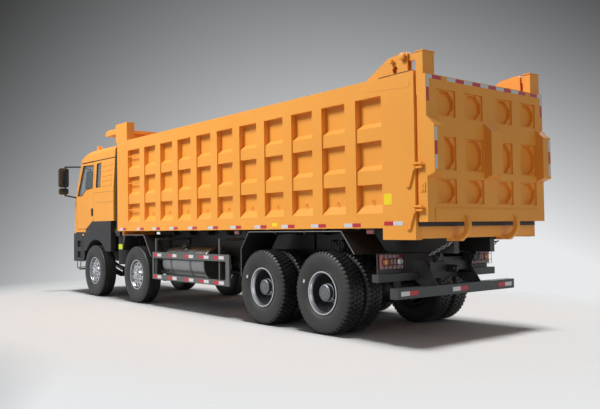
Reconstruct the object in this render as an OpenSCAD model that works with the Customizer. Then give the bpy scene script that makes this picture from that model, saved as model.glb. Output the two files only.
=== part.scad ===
// Four-axle dump truck: long ribbed load bed tipped by a front telescopic
// hoist, top-hung tailgate, two steered axles and a twin-wheel bogie.
// Millimetres, +X forward, +Y left, +Z up.  Lengths are drawn from the
// last axle; place() moves the finished truck to the middle of its box.

/* [Axles] */
// front face of the bumper to the first axle
front_overhang = 1475; // [1400:5:1600]
// first to second axle
axle_gap_12 = 2100; // [1950:10:2400]
// second to third axle
axle_gap_23 = 4375; // [4000:25:5000]
// third to fourth axle
axle_gap_34 = 1400; // [1300:10:1500]

/* [Wheels] */
// tyre radius out to the tread
tyre_r = 562; // [540:1:575]
// tyre section width
tyre_w = 315; // [290:1:325]
// bead seat radius
rim_r = 290; // [270:1:300]
// middle of left steered tyre to middle of right
steer_track = 2096; // [2060:2:2130]
// middle of left twin pair to middle of right
twin_track = 1819; // [1810:1:1850]
// middle to middle of the two tyres of a twin pair
twin_pitch = 345; // [335:1:360]
// hand holes in a steered wheel's disc
hand_holes = 10; // [6:1:12]
// half the distance between the kingpins
kingpin_y = 880; // [870:1:890]

/* [Frame] */
// width over the frame rails
frame_w = 860; // [800:5:880]
// height of the rails' top flange
frame_top = 1100; // [1060:5:1130]
// rail height
rail_h = 300; // [240:5:320]
// rail plate thickness
rail_t = 12; // [8:1:16]

/* [Bed] */
// load bed behind the last axle
bed_tail = 1720; // [1600:10:1900]
// width over the side walls
bed_w = 2432; // [2350:2:2500]
// lower edge of the side walls
bed_bottom = 1435; // [1425:5:1500]
// upper edge of the side walls
bed_top = 3297; // [2900:5:3400]
// side wall from inner sheet to rib face
wall_t = 110; // [90:1:130]
// ribs along a side
rib_count = 10; // [6:1:12]
// rib width
rib_w = 205; // [120:5:220]
// depth of the panels between ribs
panel_d = 88; // [50:1:95]

/* [Tailgate] */
// gate thickness without stiffeners
gate_t = 140; // [100:5:160]
// box stiffeners behind the gate
stiff_d = 115; // [80:5:140]
// clear space between side walls and gate
gate_gap = 30; // [20:1:40]
// gate edge inside the bed's side face
gate_inset = 23; // [20:1:40]

/* [Cab] */
// cab width at the doors
cab_w = 2300; // [2240:5:2360]
// back of the cab behind the first axle
cab_back = 945; // [920:5:970]
// top of the roof
cab_top = 3300; // [3250:5:3340]
// wall thickness of cab panels
cab_wall = 60; // [45:1:70]
// clear space round the doors
door_gap = 9; // [7:1:12]

/* [Hidden] */
$fa = 6;
$fs = 8;
big_fn = 256;
run_fit = 0.05;
seat = 0.3;
ax4 = 0;
ax3 = axle_gap_34;
ax2 = ax3 + axle_gap_23;
ax1 = ax2 + axle_gap_12;
nose = ax1 + front_overhang;
tail = -(bed_tail + gate_gap + gate_t + stiff_d);
mid_x = (nose + tail) / 2;
rail_y = frame_w / 2;
rail_z = frame_top - rail_h;
rail_rear = -1250;
lug_x = -1300;
lug_z = frame_top - 210;
lug_t = 40;
lug_bore_r = 20;
link_r = 6.5;
link_w = 16;
link_count = 9;
hook_r = 7;
hook_bend = 18;
bend_less = 0.4;
axle_z = tyre_r;
steer_y = steer_track / 2;
twin_y = twin_track / 2;
bogie_spring_y = twin_y - twin_pitch / 2 - tyre_w / 2 - 44;
bead_h = tyre_w * 0.36;
spindle_r = 50;
axle_end_r = 70;
cab_side = cab_w / 2;
cab_rear = ax1 - cab_back;
screen_inset = 140;
screen_taper = 35;
mirror_out = 250;
mirror_y = cab_side + mirror_out;
grille_inset = 370;
grille_y = cab_side - grille_inset;
stack_w = 230;
stack_y = cab_side - 40;
cleaner_r = 175;
cleaner_y = stack_y - 210;
tank_y = 800;
tank_drop = 280;
tank_z = frame_top - tank_drop;
tank_r = 310;
tank_ahead = 1910;
tank_len = 1500;
tank_rear = ax3 + tank_ahead;
air_tank_y = 640;
air_tank_len = 1190;
air_tank_r = 130;
air_tank_heights = [frame_top - 170, frame_top - 460];
seat_y = 550;
seat_w = 500;
seat_z = 1830;
seat_top = 2560;
seat_x = cab_rear + 440;
guard_low = 940;
guard_lip = 1044;
guard_top = 1354;
cab_nose = nose - 30;
cab_floor = cab_top - 1880;
roof_seam = cab_top - 270;
bulge_r = 3760;
rake = 18.8;
screen_z = cab_top - 1220;
bed_front = cab_rear - 350;
bed_h = bed_top - bed_bottom;
side_in = bed_w / 2 - wall_t;
floor_top = bed_bottom + 35;
front_post = 514;
rear_post = 540;
first_panel = 535;
rib_pitch = (bed_front + bed_tail - front_post - first_panel - rear_post) / rib_count;
wall_x = bed_front - 100;
bed_hinge_x = -1330;
bed_hinge_z = frame_top - 60;
beam_z = frame_top + 5;
gate_in = -(bed_tail + gate_gap);
gate_out = gate_in - gate_t;
gate_bottom = bed_bottom + 68;
gate_top = bed_top - 60;
gate_pin_x = -(bed_tail - 172);
gate_pin_z = bed_top + 193;
gate_w = bed_w - 2 * gate_inset;
hoist_x = bed_front + 180;
hoist_foot_z = frame_top - 100;
hoist_pin_z = bed_top - 337;
door_rear = cab_rear + 1080;
door_front = nose - 330;
door_tip = nose - 610;
door_low = cab_floor + cab_wall + door_gap + 6;
door_sill = cab_floor + 248;
hinge_x = nose - 340;
hinge_y = cab_side;
hinge_r = 12;
hinge_pin_r = 6;
hinge_h = 40;
handle_z = cab_floor + 365;
hinge_heights = [cab_floor + 250, screen_z + 60];
door_high = roof_seam - 18;
door_knee = cab_top - 1100;
window_z = cab_top - 880;
window_top = cab_top - 335;
screen_low = cab_top - 1170;
screen_high = cab_top - 340;
guard_rails = [[515, 610], [915, 1030]];
guard_y = 1165;
guard_t = 35;
chain_x = -1290;
chain_y = 480;
chain_run = 345;
paint = [0.98, 0.66, 0.18];
black = [0.09, 0.09, 0.10];
steel = [0.55, 0.56, 0.58];
silver = [0.80, 0.81, 0.83];

// box between two corners
module block(x0, x1, y0, y1, z0, z1) {
    translate([x0, y0, z0]) cube([x1 - x0, y1 - y0, z1 - z0]);
}

// outline drawn in X and Z, given width from y0 to y1
module side_view(y0, y1) {
    translate([0, y1, 0]) rotate([90, 0, 0]) linear_extrude(y1 - y0) children();
}

// outline drawn in Y and Z, given length from x0 to x1
module front_view(x0, x1) {
    translate([x0, 0, 0]) rotate([90, 0, 90]) linear_extrude(x1 - x0) children();
}

// round bar along Y
module rod_y(x, z, r, y0, y1) {
    translate([x, y0, z]) rotate([-90, 0, 0]) cylinder(r = r, h = y1 - y0);
}

// round bar along X
module rod_x(y, z, r, x0, x1) {
    translate([x0, y, z]) rotate([0, 90, 0]) cylinder(r = r, h = x1 - x0);
}

// round bar between two points
module bar(p, q, r) {
    d = q - p;
    translate(p) rotate([0, acos(d[2] / norm(d)), atan2(d[1], d[0])]) cylinder(r = r, h = norm(d));
}

// rectangle with rounded corners
module rounded(x0, x1, y0, y1, r) {
    translate([x0 + r, y0]) square([x1 - x0 - 2 * r, y1 - y0]);
    translate([x0, y0 + r]) square([x1 - x0, y1 - y0 - 2 * r]);
    for (x = [x0 + r, x1 - r], y = [y0 + r, y1 - r])
        translate([x, y]) circle(r = r);
}

// revolved outline (radius, distance along the axle) about a wheel's axis
module spun(x, y) {
    translate([x, y, axle_z]) rotate([-90, 0, 0]) rotate_extrude() children();
}

module both_sides() {
    children();
    mirror([0, 1, 0]) children();
}

module right_hand() {
    mirror([0, 1, 0]) children();
}

module place() {
    translate([-mid_x, 0, 0]) children();
}

function arc(cx, cy, r, a0, a1, n) =
    [for (i = [0 : n]) [cx + r * cos(a0 + (a1 - a0) * i / n), cy + r * sin(a0 + (a1 - a0) * i / n)]];

function flipped(points) = [for (i = [len(points) - 1 : -1 : 0]) points[i]];

// distance of the front edge of rib i from the last axle
function rib_x(i) = bed_front - front_post - first_panel - i * rib_pitch;

// two plates that carry each hinge pin of the bed, at the rails' ends
module bed_hinge_bracket() {
    for (y = [[rail_y - 130, rail_y - 96], [rail_y - 34, rail_y]])
        side_view(y[0], y[1])
            union() {
                translate([bed_hinge_x, bed_hinge_z]) circle(r = 55);
                translate([bed_hinge_x, bed_hinge_z - 55]) square([rail_rear - bed_hinge_x + 60, 110]);
            }
    rod_y(bed_hinge_x, bed_hinge_z, 40, rail_y - 130, rail_y);
}

module frame_rail() {
    difference() {
        block(rail_rear, nose - 200, rail_y - 90, rail_y, rail_z, frame_top);
        block(rail_rear - 1, nose - 199, rail_y - 91, rail_y - rail_t, rail_z + rail_t, frame_top - rail_t);
    }
}

// plate on the last crossmember, bored for a shackle pin
module recovery_lug() {
    difference() {
        side_view(-lug_t / 2, lug_t / 2)
            union() {
                translate([lug_x, lug_z]) circle(r = 2.4 * lug_bore_r);
                translate([lug_x, lug_z - 2.4 * lug_bore_r]) square([rail_rear + 90 - lug_x, 4.8 * lug_bore_r]);
            }
        rod_y(lug_x, lug_z, lug_bore_r, -lug_t, lug_t);
    }
}

module frame() {
    color(black) place() {
        both_sides() {
            frame_rail();
            bed_hinge_bracket();
            block(chain_x - 20, chain_x + 35, rail_y, rail_y + 70, bed_hinge_z - 70, bed_hinge_z + 20);
            for (x = [cab_rear + 60, nose - 480])
                block(x, x + 90, rail_y - 90, rail_y - 20, frame_top, cab_floor);
        }
        recovery_lug();
        for (x = [-1180, 500, 2100, 3300, 4600, 5300, 6420, nose - 330])
            block(x, x + 80, -rail_y + rail_t, rail_y - rail_t, rail_z + 60, frame_top - 60);
    }
}

module hoist_cradle() {
    color(black) place() union() {
        both_sides() side_view(66, 96) union() {
            translate([hoist_x, hoist_foot_z]) circle(r = 60);
            translate([hoist_x - 80, hoist_foot_z - 150]) square([160, 150]);
        }
        block(hoist_x - 80, hoist_x + 80, -rail_y + rail_t, rail_y - rail_t,
            hoist_foot_z - 180, hoist_foot_z - 110);
        rod_y(hoist_x, hoist_foot_z, 40, -96, 96);
    }
}

// forged front axle beam with its kingpin eyes
module steer_beam(x) {
    front_view(x - 45, x + 45)
        polygon(concat(
            [[-kingpin_y + 30, axle_z - 55], [-kingpin_y + 130, axle_z - 65], [-560, axle_z - 160],
                [560, axle_z - 160], [kingpin_y - 130, axle_z - 65], [kingpin_y - 30, axle_z - 55]],
            [[kingpin_y - 30, axle_z + 55], [kingpin_y - 150, axle_z + 50], [540, axle_z - 55],
                [-540, axle_z - 55], [-kingpin_y + 150, axle_z + 50], [-kingpin_y + 30, axle_z + 55]]));
    both_sides() translate([x, kingpin_y, axle_z - 60]) cylinder(r = 45, h = 120);
}

module steer_axles() {
    color(black) place() {
        for (x = [ax1, ax2])
            difference() {
                steer_beam(x);
                both_sides() translate([x, kingpin_y, axle_z - 80]) cylinder(r = 25 + run_fit, h = 160);
            }
    }
}

module drive_axle(x) {
    rod_y(x, axle_z, 85, -(twin_y - 310), twin_y - 310);
    rod_y(x, axle_z, axle_end_r, -(twin_y + 30), twin_y + 30);
    both_sides() rod_y(x, axle_z, 190, twin_y - 320, twin_y - 305);
    translate([x, 0, axle_z]) sphere(r = 225);
    rod_x(0, axle_z + 78, 120, x, x + 300);
    rod_x(0, axle_z + 78, 80, x - 245, x);
}

module drive_axles() {
    color(black) place() {
        drive_axle(ax3);
        drive_axle(ax4);
    }
}

// U-bolts that clamp a spring to a front axle
module spring_clamp(x) {
    for (dx = [-56, 56]) {
        for (y = [rail_y - 52, rail_y + 52])
            translate([x + dx, y, axle_z - 165]) cylinder(r = 9, h = 215);
        rod_y(x + dx, axle_z + 48, 10, rail_y - 60, rail_y + 60);
    }
}

module springs() {
    bogie_x = (ax3 + ax4) / 2;
    color(black) place() both_sides() {
        for (x = [ax1, ax2]) {
            side_view(rail_y - 45, rail_y + 45) union() {
                leaf_pack(x, axle_z - 35, 780, 150, 72);
                for (s = [-1, 1])
                    translate([x + s * 760 - 55, axle_z + 90]) square([110, rail_z - axle_z - 90]);
                translate([x - 70, axle_z - 55]) square([140, 60]);
            }
            spring_clamp(x);
        }
        side_view(bogie_spring_y - 90, bogie_spring_y) union() {
            translate([0, axle_z + 185 + 72]) scale([1, -1])
                leaf_pack(bogie_x, 0, axle_gap_34 / 2 + 60, 110, 72);
            for (x = [ax3, ax4])
                translate([x - 60, axle_z + 85 + seat]) square([120, 70]);
        }
        block(bogie_x - 110, bogie_x + 110, min(rail_y, bogie_spring_y - 90),
            max(rail_y + 14, bogie_spring_y), axle_z + 20, axle_z + 192);
        block(bogie_x - 90, bogie_x + 90, rail_y, rail_y + 14, axle_z + 20, frame_top - 30);
    }
}

// bowed pack of four leaves in side view: lowest point at (x, z), ends rise higher, lower leaves shorter
module leaf_pack(x, z, half, rise, thick) {
    bow = (half * half + rise * rise) / (2 * rise);
    intersection() {
        translate([x, z + bow]) difference() {
            circle(r = bow, $fn = big_fn);
            circle(r = bow - thick, $fn = big_fn);
            for (k = [1 : 3], s = [-1, 1])
                difference() {
                    translate([s * (0.6 + 0.22 * k) * half, -bow / 2]) square([half, 2 * bow], center = true);
                    circle(r = bow - k * thick / 4, $fn = big_fn);
                }
        }
        translate([x - half, z - 25]) square([2 * half, rise + thick + 50]);
    }
}

module powertrain() {
    color(black) place() {
        union() {
            block(ax1 - 525, ax1 + 875, -320, 320, axle_z + 160, cab_floor - 50);
            both_sides() block(ax1 + 100, ax1 + 260, 320, rail_y - rail_t, rail_z + 80, rail_z + 160);
            block(ax1 - 925, ax1 - 525, -200, 200, axle_z - 30, axle_z + 400);
        }
        rod_x(0, axle_z + 78, 55, ax3 + 300, ax1 - 925);
        rod_x(0, axle_z + 78, 55, ax4 + 300, ax3 - 245);
    }
}

// tank along X with rounded end edges
module vessel(y, z, r, x0, x1) {
    e = 35;
    translate([x0, y, z]) rotate([0, 90, 0]) rotate_extrude() {
        square([r - e, x1 - x0]);
        translate([0, e]) square([r, x1 - x0 - 2 * e]);
        for (h = [e, x1 - x0 - e])
            translate([r - e, h]) circle(r = e);
    }
}

module tanks() {
    color(silver) place() {
        vessel(tank_y, tank_z, tank_r, tank_rear, tank_rear + tank_len);
        translate([tank_rear + tank_len / 2, tank_y, tank_z]) rotate([-35, 0, 0]) {
            translate([0, 0, 250]) cylinder(r = 42, h = 140);
            translate([0, 0, 380]) cylinder(r = 56, h = 32);
        }
        for (z = air_tank_heights)
            vessel(-air_tank_y, z, air_tank_r, tank_rear, tank_rear + air_tank_len);
    }
}

module tank_straps() {
    color(steel) place() {
        for (x = [tank_rear + 410, tank_rear + 1110])
            difference() {
                union() {
                    rod_x(tank_y, tank_z, tank_r + 6, x, x + 60);
                    block(x, x + 60, rail_y, 620, frame_top - 500, frame_top - 60);
                }
                rod_x(tank_y, tank_z, tank_r + seat, x - 1, x + 61);
            }
        for (x = [tank_rear + 190, tank_rear + 890])
            difference() {
                block(x, x + 60, -air_tank_y, -rail_y, frame_top - 560, frame_top - 70);
                for (z = air_tank_heights)
                    rod_x(-air_tank_y, z, air_tank_r + seat, x - 1, x + 61);
            }
    }
}

module side_guards() {
    color([0.75, 0.75, 0.76]) place() both_sides() {
        front = ax2 - 745;
        rear = ax3 + 930;
        low = guard_rails[0][0];
        high = guard_rails[1][1];
        for (z = guard_rails)
            block(rear, front, guard_y, guard_y + guard_t, z[0], z[1]);
        for (x = [[front - 50, front], [rear, rear + 110]])
            block(x[0], x[1], guard_y, guard_y + guard_t, low, high);
        for (x = [front - 90, rear + 340]) {
            block(x, x + 36, guard_y - 35, guard_y, low, 1290);
            block(x, x + 36, rail_y, guard_y, 1250, 1290);
            block(x, x + 36, rail_y, rail_y + 16, 900, 1290);
        }
    }
}

// folded mudguard: outer fold points, thinned toward a wheel centre
module folded_guard(points, centre, thin) {
    polygon(concat(points, flipped([for (p = points) centre + (p - centre) * thin])));
}

module mudguards() {
    color(black) place() both_sides() {
        side_view(880, 1200)
            folded_guard([[ax2 - 690, guard_low], [ax2 - 370, guard_top], [ax2 + 476, guard_top],
                [ax2 + 600, guard_lip]],
                [ax2, axle_z], 0.985);
        block(ax2 - 30, ax2 + 10, rail_y, rail_y + 16, 900, guard_top - 8);
        block(ax2 - 30, ax2 + 10, rail_y, 1190, guard_top - 42, guard_top - 8);
        side_view(twin_y - 309, twin_y + 290)
            folded_guard([[ax4 - 640, 1100], [ax4 - 391, 1400], [ax3 + 364, 1400], [ax3 + 578, 1131],
                [ax3 + 578, 700]], [(ax3 + ax4) / 2, axle_z], 0.99);
        for (x = [ax3 - 334, ax4 + 380]) {
            block(x, x + 30, rail_y, rail_y + 16, 1000, 1395);
            block(x, x + 30, rail_y, 1190, 1364, 1395);
        }
    }
}

module rear_bars() {
    color(black) place() {
        difference() {
            block(-1064, -949, -1190, 1190, 754, 853);
            both_sides() block(-1065, -948, rail_y - 90 - seat, rail_y + seat, rail_z - seat, 854);
        }
        block(-1385, -1258, -1190, 1190, 565, 695);
        both_sides() {
            side_view(rail_y, rail_y + 16)
                polygon([[-1385, 600], [-1258, 600], [-960, 760], [-960, 1000], [-1180, 1000], [-1385, 690]]);
            block(-980, -964, 690, 1120, 853, 1105);
        }
    }
}

module tail_lamps() {
    color([0.7, 0.05, 0.04]) place() both_sides() {
        block(-1035, -980, 710, 1100, 915, 1095);
        for (y = [780, 905, 1030])
            rod_x(y, 1005, 52, -1048, -1034);
    }
}

// chain link along Z: two straight bars, joined by slightly thinner half rings
module chain_link(straight) {
    for (s = [-1, 1]) {
        translate([s * link_w, 0, -straight / 2 - 1]) cylinder(r = link_r, h = straight + 2);
        translate([0, 0, s * straight / 2]) rotate([s * 90, 0, 0])
            rotate_extrude(angle = 180) translate([link_w, 0]) circle(r = link_r - bend_less);
    }
}

// chains from the rails' ends to the bed, every second link turned
module lock_chains() {
    ring_r = link_r - bend_less;
    end = link_w + ring_r + seat;
    rise = bed_bottom - 170 - bed_hinge_z - 20 - 2 * end;
    overlap = 2 * (link_w - ring_r) - seat;
    straight = (norm([chain_run, rise]) - (link_count - 1) * overlap) / link_count;
    color(steel) place() both_sides()
        translate([chain_x, chain_y, bed_hinge_z + 20 + end]) rotate([0, -atan2(chain_run, rise), 0])
            for (i = [0 : link_count - 1])
                translate([0, 0, straight / 2 + i * (straight + overlap)]) rotate([0, 0, 90 * (i % 2)])
                    chain_link(straight);
}

// outer form of the cab, drawn in by t for its inner faces
module cab_form(t) {
    intersection() {
        side_view(-cab_w / 2 + t, cab_w / 2 - t) cab_profile(t);
        translate([cab_nose - bulge_r, 0, 0]) cylinder(r = bulge_r - t, h = 4000, $fn = big_fn);
        translate([cab_nose, 0, screen_z]) rotate([0, -rake, 0]) translate([-bulge_r, 0, -3000])
            cylinder(r = bulge_r - t, h = 6000, $fn = big_fn);
        front_view(cab_rear - 10, nose + 10) cab_section(t);
    }
}

// cab side outline: flat roof that falls in one arc to the windscreen
module cab_profile(t) {
    flat = ax1 + 25;
    drop_r = 2260;
    union() {
        translate([cab_rear + t, cab_floor + t]) square([flat - cab_rear - t, cab_top - cab_floor - 2 * t]);
        intersection() {
            translate([flat, cab_top - drop_r]) circle(r = drop_r - t, $fn = big_fn);
            translate([flat - 1, cab_floor + t]) square([nose - flat, 3000]);
        }
    }
}

// cab cross-section: upright to the belt, leaning in above, rounded roof edges
module cab_section(t) {
    half = cab_w / 2 - t;
    lean = 48;
    edge = 130;
    right = concat([[half, cab_floor + t], [half, 2300]],
        arc(half - lean - edge, cab_top - t - edge, edge, 0, 90, 6));
    polygon(concat(right, flipped([for (p = right) [-p[0], p[1]]])));
}

module cab_skin() {
    difference() {
        cab_form(0);
        cab_form(cab_wall);
    }
}

// door outline in side view, grown by g for its opening
module door_outline(g) {
    polygon([[door_rear - g, door_sill - g], [door_rear - g, door_high + g],
        [door_tip + g, door_high + g], [door_front + g, door_knee], [door_front + g, door_low - g],
        [door_rear + 440 - g, door_low - g], [door_rear + 70 - g, door_sill - g]]);
}

module door_window() {
    polygon([[door_rear + 70, window_z], [door_rear + 70, window_top - 25], [door_tip - 60, window_top],
        [door_front - 75, door_knee + 70], [door_front - 330, door_knee + 70], [door_front - 560, window_z - 20]]);
}

module quarter_window() {
    translate([cab_rear + 730, window_z]) square([220, window_top - window_z - 5]);
}

// everything ahead of the door line, roof excepted
module front_region() {
    polygon([[door_tip + door_gap, roof_seam], [door_tip + door_gap, door_high + door_gap],
        [door_front + door_gap, door_knee], [door_front + door_gap, 0], [nose + 200, 0], [nose + 200, roof_seam]]);
}

module windscreen_opening() {
    foot = cab_side - screen_inset;
    head = foot - screen_taper;
    front_view(door_tip, nose + 50)
        polygon([[-foot, screen_low], [foot, screen_low], [head, screen_high], [-head, screen_high]]);
}

module fender_notch(g) {
    polygon([[cab_rear - 5, 1300], [cab_rear - 5, door_sill - g], [door_rear + 70 - door_gap, door_sill - g],
        [door_rear + 440 - door_gap, door_low - g], [door_rear + 440 - door_gap, 1300]]);
}

// pressed ribs on the cab's rear corners
module corner_ribs() {
    intersection() {
        difference() {
            cab_form(-6);
            cab_form(20);
        }
        both_sides() side_view(cab_w / 2 - 200, cab_w) for (i = [0 : 4])
            rounded(cab_rear + 110, cab_rear + 640, cab_top - 870 + 110 * i, cab_top - 810 + 110 * i, 25);
    }
}

module cab_shell() {
    color(paint) place() {
        shell_panels();
        corner_ribs();
    }
}

// floor, back and rear sides
module shell_panels() {
    difference() {
        intersection() {
            cab_skin();
            difference() {
                block(cab_rear - 5, nose, -cab_w, cab_w, cab_floor - 5, roof_seam);
                side_view(-cab_w, cab_w) front_region();
            }
        }
        side_view(-cab_w, -cab_w / 2 + cab_wall + 60) door_outline(door_gap);
        side_view(cab_w / 2 - cab_wall - 60, cab_w) door_outline(door_gap);
        side_view(-cab_w, cab_w) quarter_window();
        both_sides() side_view(cab_w / 2 - 100, cab_w) fender_notch(door_gap - seat);
    }
}

module cab_roof() {
    color(paint) place() intersection() {
        cab_skin();
        block(cab_rear - 5, nose, -cab_w, cab_w, roof_seam, cab_top + 5);
    }
}

module cab_front() {
    color(paint) place() {
        difference() {
            intersection() {
                cab_skin();
                side_view(-cab_w, cab_w) front_region();
            }
            windscreen_opening();
            grille_slots();
        }
        both_sides() for (z = hinge_heights)
            hinge_lug(z);
    }
}

// shallow slots across the nose
module grille_slots() {
    difference() {
        front_view(nose - 400, nose + 50) for (i = [0 : 3])
            rounded(-grille_y, grille_y, cab_floor + 140 + 105 * i, cab_floor + 200 + 105 * i, 28);
        cab_form(28);
    }
}

// fixed half of a door hinge: lug below the door's barrel, pin up through it
module hinge_lug(z) {
    translate([hinge_x, hinge_y, z - hinge_h - 1]) cylinder(r = hinge_r, h = hinge_h);
    translate([hinge_x, hinge_y, z - hinge_h]) cylinder(r = hinge_pin_r, h = 2 * hinge_h);
    block(hinge_x, hinge_x + 30, hinge_y - hinge_r, hinge_y + 4, z - hinge_h - 1, z - 1);
}

// what a door leaf gives up to its hinge's fixed half
module hinge_room(z) {
    translate([hinge_x, hinge_y, z - hinge_h - 6]) cylinder(r = hinge_r + 6, h = hinge_h + 6);
}

module cab_glass() {
    color([0.25, 0.32, 0.34, 0.6]) place() {
        intersection() {
            difference() {
                cab_form(18);
                cab_form(25);
            }
            union() {
                windscreen_opening();
                both_sides() side_view(cab_w / 2 - 100, cab_w) quarter_window();
            }
        }
    }
}

module cab_fenders() {
    color(black) place() both_sides() {
        side_view(cab_w / 2 - 100, cab_w / 2 + 12)
            difference() {
                polygon([[cab_rear + 120, 1000], [cab_rear + 120, door_sill - door_gap],
                    [door_rear + 70 - door_gap, door_sill - door_gap],
                    [door_rear + 440 - door_gap, door_low - door_gap], [door_rear + 440 - door_gap, cab_floor],
                    [ax1 + 740, cab_floor], [ax1 + 740, 760], [ax1 + 660, 760], [ax1 + 640, 1000]]);
                translate([ax1, axle_z]) circle(r = 690, $fn = big_fn);
            }
        side_view(cab_side - 290, cab_side - 100)
            intersection() {
                translate([ax1, axle_z]) difference() {
                    circle(r = 706, $fn = big_fn);
                    circle(r = 690, $fn = big_fn);
                }
                translate([ax1 - 800, 1000]) square([1600, 500]);
            }
    }
}

module front_bumper() {
    color(black) place() {
        difference() {
            intersection() {
                translate([nose - bulge_r, 0, 700]) cylinder(r = bulge_r, h = 800, $fn = big_fn);
                block(ax1 + 745, nose + 5, -cab_w / 2 - 15, cab_w / 2 + 15, 742, 1395);
            }
            intersection() {
                translate([nose - bulge_r, 0, 600]) cylinder(r = bulge_r - 50, h = 1000, $fn = big_fn);
                block(ax1 + 700, nose + 5, -cab_w / 2 + 40, cab_w / 2 - 40, 700, 1450);
            }
            both_sides() {
                lamp_region();
                for (z = [830, 1080])
                    block(ax1 + 800, ax1 + 1060, cab_w / 2 - 25, cab_w / 2 + 16, z, z + 140);
            }
            front_view(nose - 300, nose + 50) rounded(-600, 600, 850, 960, 40);
        }
        both_sides() difference() {
            block(nose - 200, nose, rail_y - 90, rail_y, rail_z + 40, frame_top - 40);
            difference() {
                block(nose - 300, nose + 50, -cab_w, cab_w, 0, 2000);
                translate([nose - bulge_r, 0, 0]) cylinder(r = bulge_r - 49, h = 2000, $fn = big_fn);
            }
        }
    }
}

module lamp_region() {
    block(ax1 + 1100, nose + 50, cab_side - 450, cab_side - 70, 1120, 1320);
}

module headlamps() {
    color([0.85, 0.88, 0.9]) place() both_sides() intersection() {
        difference() {
            translate([nose - bulge_r, 0, 600]) cylinder(r = bulge_r - 6, h = 1000, $fn = big_fn);
            translate([nose - bulge_r, 0, 500]) cylinder(r = bulge_r - 44, h = 1200, $fn = big_fn);
        }
        lamp_region();
    }
}

// two rounded housings on a bent tube
module mirrors() {
    arm_x = nose - 260;
    top_z = 2962;
    low_z = 2290;
    color(black) place() both_sides() union() {
        difference() {
            union() {
                bar([nose - 500, cab_side - 120, top_z], [arm_x, mirror_y, top_z], 17);
                bar([nose - 285, cab_side - 30, low_z - 55], [arm_x, mirror_y, low_z], 17);
            }
            cab_form(0);
        }
        bar([arm_x, mirror_y, low_z], [arm_x, mirror_y, top_z], 15);
        for (z = [low_z, top_z])
            translate([arm_x, mirror_y, z]) sphere(r = 21);
        front_view(arm_x - 45, arm_x + 45) rounded(mirror_y - 70, mirror_y + 150, 2480, 2930, 50);
        front_view(arm_x - 40, arm_x + 40) rounded(mirror_y - 65, mirror_y + 145, 2310, 2460, 50);
    }
}

module sun_visor() {
    color(black) place() {
        difference() {
            intersection() {
                translate([cab_nose + 55, 0, screen_z]) rotate([0, -rake, 0]) translate([-bulge_r, 0, -3000])
                    difference() {
                        cylinder(r = bulge_r, h = 6000, $fn = big_fn);
                        translate([0, 0, -1]) cylinder(r = bulge_r - 8, h = 6002, $fn = big_fn);
                    }
                block(ax1, nose, 150 - cab_side, cab_side - 150, 2900, 3060);
            }
            cab_form(-seat);
        }
        for (y = [450 - cab_side, 0, cab_side - 450])
            difference() {
                intersection() {
                    block(ax1 + 800, nose, y - 12, y + 12, 2970, 3000);
                    translate([cab_nose + 55, 0, screen_z]) rotate([0, -rake, 0]) translate([-bulge_r, 0, -3000])
                        cylinder(r = bulge_r - 4, h = 6000, $fn = big_fn);
                }
                cab_form(-seat);
            }
    }
}

module beacon() {
    color([0.95, 0.5, 0.05]) place() difference() {
        both_sides() translate([ax1 + 560, cab_side - 330, 3100]) cylinder(r = 65, h = 320);
        cab_form(0);
    }
}

module air_intake() {
    color(black) place() {
        difference() {
            block(cab_rear - 230, cab_rear - 30, stack_y - stack_w, stack_y, 1330, 3090);
            for (z = [1480 : 115 : 2980])
                block(cab_rear - 110, cab_rear - 29, stack_y - 24, stack_y + 1, z, z + 45);
        }
        block(cab_rear - 31, cab_rear, stack_y - 160, stack_y - 60, 2600, 2700);
        translate([cab_rear - 130, cleaner_y, 730]) cylinder(r = cleaner_r, h = 600);
        block(cab_rear - 180, cab_rear - 80, rail_y, cleaner_y - cleaner_r + 35, 950, 1030);
    }
}

module seats() {
    near = seat_y - seat_w / 2;
    far = seat_y + seat_w / 2;
    color([0.14, 0.14, 0.16]) place() both_sides() union() {
        block(seat_x + 120, seat_x + 120 + seat_w, near, far, cab_floor + cab_wall, seat_z);
        block(seat_x, seat_x + 140, near + 20, far - 20, seat_z - 80, seat_top);
    }
}

module dashboard() {
    color([0.16, 0.16, 0.17]) place() union() {
        intersection() {
            block(nose - 520, nose, -cab_w, cab_w, 1780, 2120);
            cab_form(cab_wall + seat);
            block(nose - 520, nose, -cab_w / 2 + 90, cab_w / 2 - 90, 0, 4000);
        }
        translate([nose - 450, seat_y, 2000]) rotate([0, -55, 0]) {
            cylinder(r = 35, h = 230);
            translate([0, 0, 230]) rotate_extrude() translate([215, 0]) circle(r = 16, $fn = 12);
            translate([0, 0, 218]) cylinder(r = 60, h = 24);
            for (a = [0, 120, 240])
                rotate([0, 0, a]) translate([0, -18, 223]) cube([213, 36, 14]);
        }
    }
}

module door_leaf() {
    difference() {
        union() {
            intersection() {
                cab_skin();
                side_view(cab_w / 2 - cab_wall - 60, cab_w) door_outline(0);
            }
            for (z = hinge_heights)
                translate([hinge_x, hinge_y, z]) cylinder(r = hinge_r, h = hinge_h);
        }
        side_view(0, cab_w) door_window();
        side_view(cab_w / 2 - 20, cab_w) rounded(door_rear + 28, door_rear + 158, handle_z, handle_z + 170, 20);
        for (z = hinge_heights) {
            hinge_room(z);
            translate([hinge_x, hinge_y, z - 1]) cylinder(r = hinge_pin_r + run_fit, h = hinge_h + 2);
        }
    }
    block(door_rear + 84, door_rear + 108, cab_w / 2 - 12, cab_w / 2 - 1, handle_z - 5, handle_z + 175);
}

module door_pane() {
    intersection() {
        difference() {
            cab_form(22);
            cab_form(27);
        }
        side_view(cab_w / 2 - cab_wall - 60, cab_w) door_window();
    }
}

module door_left() {
    color(paint) place() door_leaf();
}

module door_right() {
    color(paint) place() right_hand() door_leaf();
}

module door_glass_left() {
    color([0.25, 0.32, 0.34, 0.6]) place() door_pane();
}

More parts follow.
